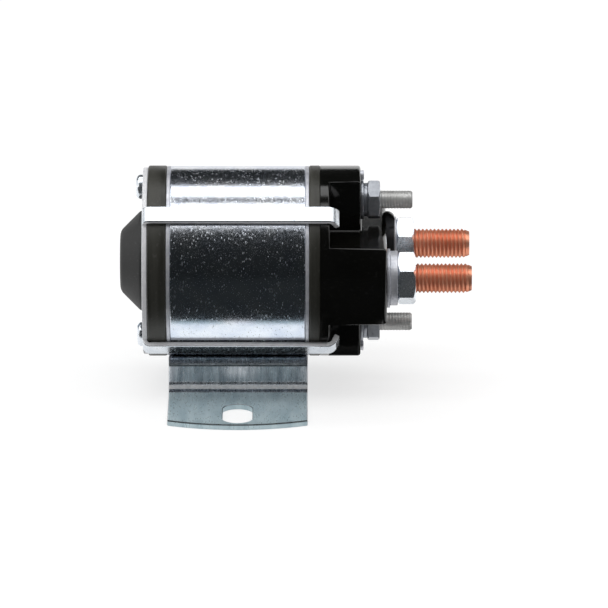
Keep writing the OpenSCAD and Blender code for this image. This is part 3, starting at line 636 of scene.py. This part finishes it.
def makeCap():
    c = cap
    shoulder = c["tip"] + c["slope"]
    roof = c["tip"] + c["wall"]
    base = c["seat"] + c["flangeDepth"]
    bm = lathe([(c["tip"], 0), (c["tip"], c["tipRadius"]), (shoulder, c["footRadius"]),
                (c["seat"], c["footRadius"]), (c["seat"], c["flange"]), (base, c["flange"]),
                (base, c["bore"]), (roof, c["bore"]), (roof, 0)], 128, closed=False)
    roundRing(bm, c["tip"], c["tipRadius"], c["edge"], 5)
    roundRing(bm, shoulder, c["footRadius"], c["shoulderEdge"], 4)
    makePiece("plunger_cap", bm, capMatte, ["end_cap"], sharp=50)


endScrew = {"headRadius": 3.3, "headHeight": 1.8, "dome": 0.7, "edge": 0.35, "shank": 1.5, "reach": 9.8,
            "slotWidth": 0.9, "slotDepth": 0.8, "slotTurns": (20, 65)}


def makeEndScrews():
    s = endScrew
    bm = bmesh.new()
    under = endFrame["plateBack"]
    top = under - s["headHeight"]
    flat, brim, tip = s["headRadius"] - s["dome"], top + s["dome"], under + s["reach"]
    for side, turn in zip((-1, 1), s["slotTurns"]):
        one = lathe([(top, 0), (top, flat), (brim, s["headRadius"]), (under, s["headRadius"]),
                     (under, s["shank"]), (tip, s["shank"]), (tip, 0)], 48, closed=False)
        roundRing(one, top, flat, s["edge"])
        roundRing(one, brim, s["headRadius"], s["edge"])
        slot = box(2 * s["slotDepth"], s["slotWidth"], 3 * s["headRadius"])
        turnMesh(slot, turn)
        moveMesh(slot, (top, 0, 0))
        one = combine(one, slot)
        moveMesh(one, (0, 0, side * endFrame["screwRadius"]))
        join(bm, one)
    makePiece("end_frame_screws", bm, nutZinc, ["end_screws"])


makeCap()
makeEndScrews()
print("can, boards, end frame, cap and screws made")


# Contact housing

housing = {"back": 22.1, "shoulder": 24.5, "tall": 32.9, "wide": 39.8, "radius": 25.6, "tallHalf": 7.7,
           "wideHalf": 10.7, "wall": 2.0, "rimEdge": 0.4, "tallEdge": 0.7, "wideEdge": 1.3,
           "mainHole": 4.12, "coilHole": 2.56, "steps": 144, "crowding": 0.8}
barrier = {"back": 38.6, "front": 42.1, "up": 13.7, "down": 12.2, "thick": 2.2, "corner": 2.0, "edge": 0.3}
boss = {"radius": 1.3, "height": 0.9, "root": 0.5, "offset": 24.05, "edge": 0.25}

# (y, z) of the studs, from the can's axis
lineSpot, loadSpot, lowerSpot, upperSpot = (-15.5, 0), (15.5, 0), (0, -17.2), (0, 17.2)


def steppedBlock(radius, tallHalf, wideHalf, levels):
    # a disc is scored by four planes, then its middle is raised level by level
    back, shoulder, tall, wide = levels
    bm = bmesh.new()
    bmesh.ops.create_circle(bm, cap_ends=True, radius=radius, segments=housing["steps"])
    turnMesh(bm, 90, "Y")
    moveMesh(bm, (back, 0, 0))
    for normal, half in (((0, 1, 0), tallHalf), ((0, 0, 1), wideHalf)):
        for side in (-1, 1):
            splitMesh(bm, Vector(normal) * half * side, normal)

    # rim points that crowd a scored corner would stop the edges being rounded
    def scored(v):
        return abs(abs(v.co.y) - tallHalf) < tiny or abs(abs(v.co.z) - wideHalf) < tiny

    corners = [v.co.copy() for v in bm.verts if scored(v)]
    crowded = [v for v in bm.verts
               if not scored(v) and min((v.co - c).length for c in corners) < housing["crowding"]]
    bmesh.ops.dissolve_verts(bm, verts=crowded)

    def raised(faces, distance):
        edges = {e for g in faces for e in g.edges}
        grown = bmesh.ops.extrude_face_region(bm, geom=faces + list(edges))["geom"]
        moveMesh(bm, (distance, 0, 0), only(grown, BMVert))
        return only(grown, BMFace)

    def inWide(g):
        return abs(g.calc_center_median().z) < wideHalf

    top = raised(bm.faces[:], shoulder - back)
    cross = [g for g in top if abs(g.calc_center_median().y) < tallHalf or inWide(g)]
    cross = raised(cross, tall - shoulder)
    raised([g for g in cross if inWide(g)], wide - tall)
    cleanMesh(bm)
    mergeFlat(bm)
    return bm


def makeHousing():
    h, w = housing, housing["wall"]
    bm = steppedBlock(h["radius"], h["tallHalf"], h["wideHalf"],
                      (h["back"], h["shoulder"], h["tall"], h["wide"]))

    def level(e, x):
        return all(abs(v.co.x - x) < spotSize for v in e.verts)

    def onTop(e):
        return level(e, h["tall"]) and max(abs(v.co.z) for v in e.verts) > h["wideHalf"] + margin

    ends = sharpEdges(bm, 40, lambda e: level(e, h["wide"]))
    tops = sharpEdges(bm, 40, onTop)
    rest = sharpEdges(bm, 40, lambda e: not level(e, h["back"]) and e not in ends and e not in tops)
    bm = filletedBy(bm, [(rest, h["rimEdge"]), (tops, h["tallEdge"]), (ends, h["wideEdge"])])
    bm = combine(bm, steppedBlock(h["radius"] - w, h["tallHalf"] - w, h["wideHalf"] - w,
                                  (h["back"] - past, h["back"] - past / 2, h["tall"] - w, h["wide"] - w)))
    holes = [(spot, h["mainHole"], h["wide"]) for spot in (lineSpot, loadSpot)]
    holes += [(spot, h["coilHole"], h["tall"]) for spot in (lowerSpot, upperSpot)]
    for centre, radius, end in holes:
        bm = combine(bm, lathe(section(end - w - past, end + past, 0, radius), 48, centre, closed=False))

    b = barrier
    wall = box(b["front"] - b["back"], b["thick"], b["up"] + b["down"])
    moveMesh(wall, ((b["front"] + b["back"]) / 2, 0, (b["up"] - b["down"]) / 2))
    corners = [e for e in wall.edges
               if all(v.co.x > b["front"] - nearly for v in e.verts) and span(e, 2) < nearly]
    backTop = [e for e in wall.edges
               if all(v.co.x < b["back"] + nearly and v.co.z > b["up"] - nearly for v in e.verts)]
    roundEdges(wall, corners, b["corner"], 8)
    roundEdges(wall, [e for e in backTop if e.is_valid], b["corner"] / 2, 6)
    roundEdges(wall, sharpEdges(wall, 60), b["edge"])
    join(bm, wall)

    crown = h["tall"] + boss["height"]
    for side in (-1, 1):
        centre = (0, side * boss["offset"])
        knob = lathe(section(h["tall"] - boss["root"], crown, 0, boss["radius"]), 32, centre, closed=False)
        roundRing(knob, crown, boss["radius"], boss["edge"], 3, centre)
        for face in knob.faces:
            face.material_index = 1
        join(bm, knob)
    makePiece("housing_shell", bm, [housingBlack, satinZinc], ["contact_housing"],
              sharp=28)


makeHousing()
print("housing made")


# Saddle bracket

bracket = {"sheet": 1.6, "half": 18.7, "saddle": 25.6, "crest": 3.0, "wall": 12.7, "footBend": 1.7,
           "footEnd": 41.0, "bulge": 3.6, "slotPitch": 63.5, "slotWidth": 8.0, "slotLength": 15.5,
           "edge": 0.3, "rimEdge": 0.5, "slotCut": 20, "trimDepth": 200}

# how far up the normals point on the parts of the sheet that have a finish of their own: a painted
# highlight on the bend, painted shade on the crest and on the foot's rim
lean = {"bend": (0.45, 0.8), "crest": (0.02, 0.38), "rim": (0.2, 0.95), "side": 0.9}
sheetFace, cutFace, footFace, bendHighlightFace, crestShadeFace = range(5)


def makeBracket():
    b = bracket
    t = b["sheet"]
    crestY = b["wall"] - b["crest"]
    rise = math.sqrt((b["saddle"] + b["crest"]) ** 2 - crestY ** 2)
    crestZ = axisHeight - rise
    saddleHalf = math.degrees(math.atan2(crestY, rise))
    bm = bmesh.new()
    # the sheet's edge starts under the can and is spun and run outwards, on the sheet's mid plane
    start = axisHeight - b["saddle"] - t / 2
    edge = bm.edges.new([bm.verts.new((x, 0, start)) for x in (-b["half"], b["half"])])

    def spinOn(edge, centre, angle, steps):
        out = bmesh.ops.spin(bm, geom=[edge] + list(edge.verts), cent=centre, axis=alongX,
                             angle=math.radians(angle), steps=steps)["geom_last"]
        return only(out, BMEdge)[0]

    def runOn(edge, step):
        out = bmesh.ops.extrude_edge_only(bm, edges=[edge])["geom"]
        moveMesh(bm, step, only(out, BMVert))
        return next(g for g in only(out, BMEdge) if all(v in out for v in g.verts) and span(g) > longEdge)

    edge = spinOn(edge, (0, 0, axisHeight), saddleHalf, 10)
    edge = spinOn(edge, (0, crestY, crestZ), -(90 + saddleHalf), 14)
    bottom = b["footBend"] + t
    edge = runOn(edge, (0, 0, bottom - crestZ))
    edge = spinOn(edge, (0, b["wall"] + b["footBend"], bottom), 90, 10)
    runOn(edge, (0, b["footEnd"] + 1 - b["wall"] - b["footBend"], 0))
    bmesh.ops.remove_doubles(bm, verts=bm.verts[:], dist=tiny)
    bmesh.ops.mirror(bm, geom=bm.verts[:] + bm.edges[:] + bm.faces[:], axis="Y", merge_dist=spotSize)
    cleanMesh(bm, spotSize)
    bmesh.ops.solidify(bm, geom=bm.faces[:], thickness=t)
    bmesh.ops.recalc_face_normals(bm, faces=bm.faces[:])
    moveMesh(bm, (0, 0, -min(v.co.z for v in bm.verts)))

    # feet are trimmed by wide arcs and slotted
    arc = (b["half"] ** 2 + b["bulge"] ** 2) / (2 * b["bulge"])
    for side in (-1, 1):
        disc = bmesh.new()
        bmesh.ops.create_cone(disc, cap_ends=True, segments=256, radius1=arc, radius2=arc,
                              depth=b["trimDepth"])
        moveMesh(disc, (0, side * (b["footEnd"] - arc), 0))
        bm = combine(bm, disc, "INTERSECT")
    reach = (b["slotLength"] - b["slotWidth"]) / 2
    for side in (-1, 1):
        slot = bmesh.new()
        bmesh.ops.create_circle(slot, cap_ends=True, radius=b["slotWidth"] / 2, segments=48)
        splitMesh(slot, origin, (0, 1, 0))
        middle = [v for v in slot.verts if abs(v.co.y) < tiny]
        for v in slot.verts:
            v.co.y += 0 if v in middle else math.copysign(reach, v.co.y)
        bmesh.ops.dissolve_verts(slot, verts=middle)
        grown = bmesh.ops.extrude_face_region(slot, geom=slot.faces[:])["geom"]
        moveMesh(slot, (0, 0, b["slotCut"]), only(grown, BMVert))
        moveMesh(slot, (0, side * b["slotPitch"] / 2, -b["slotCut"] / 2))
        bm = combine(bm, slot)
    mergeFlat(bm)
    bm.normal_update()
    for face in bm.faces:
        heights = [v.co.z for v in face.verts]
        if max(heights) < t + nearly:
            face.material_index = footFace
        elif abs(face.normal.x) > lean["side"]:
            face.material_index = cutFace
        # faces on the foot's bend take the painted highlight
        elif max(heights) < bottom + margin and between(face.normal.z, lean["bend"]):
            face.material_index = bendHighlightFace
        # faces on the crest, where the saddle turns down into the wall, take the painted shade
        elif min(heights) > crestZ - margin and between(face.normal.z, lean["crest"]):
            face.material_index = crestShadeFace
        else:
            face.material_index = sheetFace

    def footRim(e):
        spot = (e.verts[0].co + e.verts[1].co) / 2
        slotEnd = b["slotLength"] / 2 + margin
        inSlot = abs(spot.x) < b["slotWidth"] and abs(abs(spot.y) - b["slotPitch"] / 2) < slotEnd
        return all(between(v.co.z, (t - nearly, t + nearly)) for v in e.verts) and not inSlot

    rims = sharpEdges(bm, 50, footRim)
    others = [e for e in sharpEdges(bm, 50) if e not in rims]
    bm = filletedBy(bm, [(rims, b["rimEdge"]), (others, b["edge"])])
    # the rounding along the foot's top rim takes the painted shade too
    for face in bm.faces:
        if face.material_index == footFace and between(face.normal.z, lean["rim"]):
            face.material_index = crestShadeFace
    makePiece("saddle_bracket", bm, [bracketZinc, cutEdge, footZinc, bendHighlightZinc, crestShadeZinc],
              ["mounting_bracket"], place=onFeet, sharp=28)


makeBracket()
print("bracket made")


# Studs, with their threads cut

mainStud = {"major": 3.969, "depth": 0.50, "pitch": 1.058, "head": 5.5, "headFrom": 35.0,
            "headHeight": 2.8, "shank": 3.6, "threadFrom": 46.4, "end": 62.5, "chamfer": 1.9,
            "drop": 0.75, "steps": 40}
coilStud = {"major": 2.413, "depth": 0.09, "pitch": 0.794, "head": 4.0, "headFrom": 29.3,
            "headHeight": 1.6, "shank": 2.13, "threadFrom": 37.2, "end": 46.8, "chamfer": 0.5,
            "drop": 0.4, "steps": 36}

# one pitch of thread: share of the pitch, share of the depth
threadShape = ((0.0, 0.0), (0.12, 0.12), (0.38, 0.86), (0.5, 1.0), (0.62, 0.86), (0.88, 0.12), (1.0, 0.0))
blankMargin = 0.2
spareTurns = 4
trimShare = 0.4
headEdge = 0.3
shankOverlap = 0.5


def threadedRod(s):
    # one pitch of the outline is spun up the helix, and a turned blank trims both ends
    bm = bmesh.new()
    p = s["pitch"]
    root = s["major"] - s["depth"]
    turns = int((s["end"] - s["threadFrom"]) / p) + spareTurns
    first = s["threadFrom"] - spareTurns / 2 * p
    verts = [bm.verts.new((first + along * p, root + deep * s["depth"], 0)) for along, deep in threadShape]
    edges = [bm.edges.new(pair) for pair in zip(verts, verts[1:])]
    bmesh.ops.spin(bm, geom=verts + edges, cent=origin, axis=alongX, dvec=(p / s["steps"], 0, 0),
                   angle=math.tau * turns, steps=s["steps"] * turns)
    bmesh.ops.remove_doubles(bm, verts=bm.verts[:], dist=spotSize)
    for x, side in ((s["threadFrom"] - trimShare * p, -1), (s["end"] + trimShare * p, 1)):
        splitMesh(bm, (x, 0, 0), (side, 0, 0), trim=True)
    fillEnds(bm)
    wide = s["major"] + blankMargin
    start = s["end"] - s["chamfer"] - blankMargin * s["chamfer"] / s["drop"]
    blank = lathe([(s["threadFrom"], 0), (s["threadFrom"], wide), (start, wide),
                   (s["end"], s["major"] - s["drop"]), (s["end"], 0)], closed=False)
    return combine(bm, blank, "INTERSECT")


def makeStud(name, s, centre, material, node, turn):
    headEnd, shankEnd = s["headFrom"] + s["headHeight"], s["threadFrom"] + shankOverlap
    bm = lathe([(s["headFrom"], 0), (s["headFrom"], s["head"]), (headEnd, s["head"]),
                (headEnd, s["shank"]), (shankEnd, s["shank"]), (shankEnd, 0)], 64, closed=False)
    roundRing(bm, s["headFrom"], s["head"], headEdge)
    rod = threadedRod(s)
    turnMesh(rod, turn)
    join(bm, rod)
    moveMesh(bm, (0, *centre))
    makePiece(name, bm, material, [node], sharp=50)


makeStud("line_stud_threaded", mainStud, lineSpot, copperBright, "line_stud", 30)
makeStud("load_stud_threaded", mainStud, loadSpot, copperBright, "load_stud", 130)
makeStud("coil_stud_upper", coilStud, upperSpot, terminalSteel,
         "coil_terminal_upper", 0)
makeStud("coil_stud_lower", coilStud, lowerSpot, terminalSteel,
         "coil_terminal_lower", 80)
print("studs made")


# Washers and nuts

mainHardware = {"at": (lineSpot, loadSpot), "seat": 39.8, "flatRadius": 7.9, "flat": 0.9,
                "lockRadius": 7.3, "lock": 2.0, "bore": 4.1, "nutFlats": 12.7, "nut": 4.8,
                "nutBore": 3.67, "nutTurns": (28.6, 30.2), "lockTurns": (60, 60), "split": 0.8}
coilHardware = {"at": (lowerSpot, upperSpot), "seat": 32.9, "flatRadius": 5.3, "flat": 0.8,
                "lockRadius": 4.5, "lock": 1.1, "bore": 2.56, "nutFlats": 9.525, "nut": 3.3,
                "nutBore": 2.2, "nutTurns": (34, 35), "lockTurns": (40, 40), "split": 0.7}
hardwareEdges = {"flat": 0.2, "lock": 0.22, "nut": 0.18, "sink": 0.35, "nutFlat": 0.1, "nutBrim": 0.3,
                 "nutSlope": 30}


def flatWasher(s, centre):
    a, b = s["seat"], s["seat"] + s["flat"]
    bm = lathe(section(a, b, s["bore"], s["flatRadius"]), 72, centre)
    for x in (a, b):
        roundRing(bm, x, s["flatRadius"], hardwareEdges["flat"], 3, centre)
    return bm


def lockWasher(s, centre, turn):
    # a square section spun short of a full turn
    bm = bmesh.new()
    a = s["seat"] + s["flat"]
    verts = [bm.verts.new((x, r, 0)) for x, r in section(a, a + s["lock"], s["bore"], s["lockRadius"])]
    face = bm.faces.new(verts)
    bm.faces.new([bm.verts.new(v.co) for v in reversed(verts)])
    gap = 2 * math.asin(s["split"] / 2 / s["lockRadius"])
    bmesh.ops.spin(bm, geom=[face] + list(face.edges) + verts, cent=origin, axis=alongX,
                   angle=math.tau - gap, steps=64)
    if face.is_valid:
        bmesh.ops.delete(bm, geom=[face], context="FACES_ONLY")
    cleanMesh(bm)
    roundEdges(bm, sharpEdges(bm, 50), hardwareEdges["lock"])
    turnMesh(bm, turn + math.degrees(gap / 2))
    moveMesh(bm, (0, *centre))
    return bm


def hexNut(s, centre, turn):
    # a hexagon trimmed by a turned double cone, then bored and countersunk
    edges = hardwareEdges
    a = s["seat"] + s["flat"] + s["lock"]
    b = a + s["nut"]
    half = s["nutFlats"] / 2
    corner = s["nutFlats"] / math.sqrt(3)
    bm = bmesh.new()
    bmesh.ops.create_cone(bm, cap_ends=True, segments=6, radius1=corner, radius2=corner, depth=s["nut"])
    turnMesh(bm, 90, "Y")
    spot = min(bm.verts, key=lambda v: math.atan2(v.co.z, v.co.y) % (math.pi / 3))
    turnMesh(bm, turn - math.degrees(math.atan2(spot.co.z, spot.co.y)))
    moveMesh(bm, ((a + b) / 2, 0, 0))
    roundEdges(bm, [e for e in bm.edges if span(e) > longEdge], edges["nut"])
    flat, brim = half - edges["nutFlat"], corner + edges["nutBrim"]
    slope = (brim - flat) * math.tan(math.radians(edges["nutSlope"]))
    trim = lathe([(a, 0), (a, flat), (a + slope, brim),
                  (b - slope, brim), (b, flat), (b, 0)], closed=False)
    bm = combine(bm, trim, "INTERSECT")
    sink, hole = edges["sink"], s["nutBore"]
    mouth = hole + sink + past
    bore = lathe([(a - past, 0), (a - past, mouth), (a + sink, hole),
                  (b - sink, hole), (b + past, mouth), (b + past, 0)], 64, closed=False)
    bm = combine(bm, bore)
    moveMesh(bm, (0, *centre))
    return bm


def makeHardware(label, s, washerFinish, nutFinish):
    flats, locks, nuts = bmesh.new(), bmesh.new(), bmesh.new()
    for centre, lockTurn, nutTurn in zip(s["at"], s["lockTurns"], s["nutTurns"]):
        join(flats, flatWasher(s, centre))
        join(locks, lockWasher(s, centre, lockTurn))
        join(nuts, hexNut(s, centre, nutTurn))
    makePiece(label + "_stud_washers", flats, washerFinish, [label + "_flat_washers"])
    makePiece(label + "_stud_locks", locks, washerFinish, [label + "_lock_washers"])
    makePiece(label + "_stud_hex_nuts", nuts, nutFinish, [label + "_nuts"], sharp=20)


makeHardware("main", mainHardware, satinZinc, nutZinc)
makeHardware("coil", coilHardware, smallNutShadedZinc, smallNutShadedZinc)
print("washers and nuts made")


# Winding: rows of wire show as ridges

winding = {"from": -14.4, "turns": 32, "outer": 22.0, "inner": 9.25, "wire": 0.9, "shrink": 0.999}


def makeWinding():
    w = winding
    r = w["wire"] / 2
    outline = [(w["from"], w["inner"])]
    for i in range(w["turns"]):
        centre = w["from"] + (i + 0.5) * w["wire"]
        for degrees in (180, 135, 90, 45, 0):
            a = math.radians(degrees)
            outline.append((centre + r * math.cos(a) * w["shrink"], w["outer"] - r + r * math.sin(a)))
    outline.append((w["from"] + w["turns"] * w["wire"], w["inner"]))
    makePiece("winding_turns", lathe(outline, 72), windingWire, ["winding"], sharp=80)


makeWinding()


# Springs: a wire coil for each, on its body

springs = {
    "return_spring": {"from": -4.1, "to": 6.95, "turns": 5, "body": "frame", "joint": "plunger_travel",
                      "heldAt": 6.95, "stroke": 3.0},
    "contact_spring": {"from": 22.9, "to": 28.7, "turns": 3, "body": "plunger",
                       "joint": "contact_overtravel", "heldAt": 22.9, "stroke": 0.9}}
springWire = {"diameter": 0.7, "meanRadius": 2.85, "sides": 10, "stepsPerTurn": 28}


def makeSprings():
    w = springWire
    wire = w["diameter"] / 2
    for node, s in springs.items():
        length = s["to"] - s["from"]
        steps = s["turns"] * w["stepsPerTurn"]
        bm = bmesh.new()
        bmesh.ops.create_circle(bm, cap_ends=False, radius=wire, segments=w["sides"])
        moveMesh(bm, (s["from"] + wire, w["meanRadius"], 0))
        bmesh.ops.spin(bm, geom=bm.verts[:] + bm.edges[:], cent=origin, axis=alongX,
                       dvec=((length - 2 * wire) / steps, 0, 0), angle=math.tau * s["turns"], steps=steps)
        fillEnds(bm)
        coil = makePiece(node + "_coil", bm, springSteel, [node], sharp=60, body=s["body"])
        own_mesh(coil)


makeSprings()


# CAD nodes that stay get their own finish

innerFinishes = {
    "cap_gasket": gasketRubber, "bobbin": bobbinNylon, "coil_leads": windingWire, "guide_tube": guideBrass,
    "fixed_core": coreIron, "plunger": coreIron, "plunger_shaft": terminalSteel, "spring_seat": strapZinc,
    "shaft_clip": springSteel, "bridge_retainer": strapZinc, "contact_bridge": copperBright,
    "bridge_bushing": bobbinNylon}

for nodeName, finish in innerFinishes.items():
    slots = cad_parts[nodeName].material_slots
    if len(slots) == 0:
        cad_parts[nodeName].data.materials.append(finish)
    for materialSlot in slots:
        materialSlot.material = finish
print("inner nodes finished")


# Camera at the photograph's angle

view = {"target": (0.0177, 0.0, 0.0219), "distance": 1.9, "elevation": 18.0, "lens": 417.0,
        "sensor": 36.0, "sight": 20.0}
elevation = math.radians(view["elevation"])
cameraData = bpy.data.cameras.new("photoCamera")
cameraData.lens = view["lens"]
cameraData.sensor_width = view["sensor"]
cameraData.clip_end = view["sight"]
camera = addObject("photoCamera", cameraData)
towards = Vector((0, -math.cos(elevation), math.sin(elevation)))
camera.location = Vector(view["target"]) + view["distance"] * towards
camera.rotation_euler = (math.radians(90) - elevation, 0, 0)
bpy.context.scene.camera = camera


# Studio: floor, world, two overhead softboxes and cards

studio = {"floorSize": 12.0, "floorColour": 0.48, "floorLift": 0.66, "worldFill": 0.42, "boxHeight": 0.9,
          "boxLength": 2.4, "boxLevel": 1.3, "cardColour": (0.020, 0.023, 0.024),
          "bandColour": (0.93, 0.97, 1.0), "bandLevel": 1.05}

# angles above the horizon, seen from the can: the two softboxes, the gap card and the upright cards
softboxes = {"softboxFront": (60.8, 90.2), "softboxBack": (101.0, 118.5)}
gapCard = {"angles": (89.8, 101.4), "lift": 0.02}
uprights = {"front": 0.5, "frontTop": 59.5, "back": 0.6, "backLow": 16.5, "backTop": 61, "reach": 1.2,
            "right": 1.1, "rightSize": 0.5}

# level cards low down, in metres: left, right, near, far, height
levelCards = {
    "cardLow": (-1.2, 1.2, -0.5, -0.0357, 0.003),
    "cardHousing": (0.0215, 0.039, -0.043, -0.02, 0.0004),
    # cardShadeUnderStuds and cardShadeUnderCan are dark sheets that stand in for shade, seen only in
    # reflections: on the floor under the studs, and under the can over the foot's bend
    "cardShadeUnderStuds": (0.0487, 0.068, -0.045, 0.06, 0.0004),
    "cardShadeUnderCan": (-0.0187, 0.0187, -0.0184, -0.0146, 0.0075),
    "cardNearStud": (0.048, 0.068, -0.0155, 0.0005, 0.0432),
    "cardFarStud": (0.048, 0.068, 0.0155, 0.0315, 0.0432),
    "cardUpperTerminal": (0.0384, 0.0475, 0.0, 0.011, 0.0574),
    "cardLowerTerminal": (0.0384, 0.0475, 0.0, 0.011, 0.023),
    "cardBand": (-0.019, 0.019, -0.0285, -0.0205, 0.012)}


def addPlane(name, corners, material):
    bm = bmesh.new()
    bm.faces.new([bm.verts.new(c) for c in corners])
    obj = meshObject(name, bm)
    obj.data.materials.append(material)
    return obj


def levelCorners(left, right, near, far, height):
    return [(left, near, height), (right, near, height), (right, far, height), (left, far, height)]


def uprightCorners(reach, y, low, high):
    return [(-reach, y, low), (reach, y, low), (reach, y, high), (-reach, y, high)]


def seenDirectly(tree):
    # 1 for camera, glossy and transmission rays
    path = addNode(tree, "ShaderNodeLightPath")
    some = math2(tree, "MAXIMUM", path.outputs["Is Camera Ray"], path.outputs["Is Glossy Ray"])
    return math2(tree, "MAXIMUM", some, path.outputs["Is Transmission Ray"])


def makeFloorAndWorld():
    s = studio
    level, half = s["floorColour"], s["floorSize"] / 2
    floor, tree, shader = newMaterial("floorWhite", {
        "Base Color": (level, level, level, 1), "Roughness": 1.0, "Specular IOR Level": 0.0,
        "Emission Color": (1, 1, 1, 1)})
    send(tree, shader, {"Emission Strength": math2(tree, "MULTIPLY", seenDirectly(tree), s["floorLift"])})
    addPlane("floor", levelCorners(-half, half, -half, half, 0), floor)

    world = bpy.data.worlds.new("studioWorld")
    bpy.context.scene.world = world
    world.use_nodes = True
    tree = world.node_tree
    background = tree.nodes["Background"].inputs
    background["Color"].default_value = (1, 1, 1, 1)
    send(tree, background, {"Strength": remap(tree, seenDirectly(tree), 0, 1, s["worldFill"], 1.0)})


def overhead(degrees):
    # y of a line at softbox height, seen from the can at this angle
    return -studio["boxHeight"] / math.tan(math.radians(degrees))


def makeSoftboxes():
    s = studio
    for name, angles in softboxes.items():
        near, far = (overhead(a) for a in angles)
        lamp = bpy.data.lights.new(name, "AREA")
        lamp.shape = "RECTANGLE"
        lamp.size = s["boxLength"]
        lamp.size_y = abs(far - near)
        lamp.energy = s["boxLevel"] * math.pi * lamp.size * lamp.size_y
        addObject(name, lamp).location = (0, (near + far) / 2, s["boxHeight"] + axisHeight * mm)


def makeCards():
    # only reflections see the cards: dark ones, and a pale one for the bright band low on the can
    u = uprights
    dark = newMaterial("cardBlack", {
        "Base Color": (*studio["cardColour"], 1), "Roughness": 1.0, "Specular IOR Level": 0.0})[0]
    pale = newMaterial("cardPale", {
        "Base Color": (0, 0, 0, 1), "Specular IOR Level": 0.0,
        "Emission Color": (*studio["bandColour"], 1), "Emission Strength": studio["bandLevel"]})[0]
    up = axisHeight * mm

    def rise(distance, degrees):
        return up + distance * math.tan(math.radians(degrees))

    front, back, reach, right, size = (u[k] for k in ("front", "back", "reach", "right", "rightSize"))
    gap = [overhead(a) for a in gapCard["angles"]]
    cards = {
        "cardFront": uprightCorners(reach, -front, 0, rise(front, u["frontTop"])),
        "cardBack": uprightCorners(reach, back, rise(back, u["backLow"]), rise(back, u["backTop"])),
        "cardGap": levelCorners(-reach, reach, *gap, studio["boxHeight"] + up + gapCard["lift"]),
        "cardRight": [(right, -size, 0), (right, size, 0), (right, size, size), (right, -size, size)]}
    cards.update((name, levelCorners(*sides)) for name, sides in levelCards.items())
    for name, corners in cards.items():
        card = addPlane(name, corners, pale if name == "cardBand" else dark)
        card.visible_camera = False
        card.visible_diffuse = False
        card.visible_transmission = False
        card.visible_shadow = False


makeFloorAndWorld()
makeSoftboxes()
makeCards()
bpy.context.scene.view_settings.view_transform = "Standard"
print("studio made")
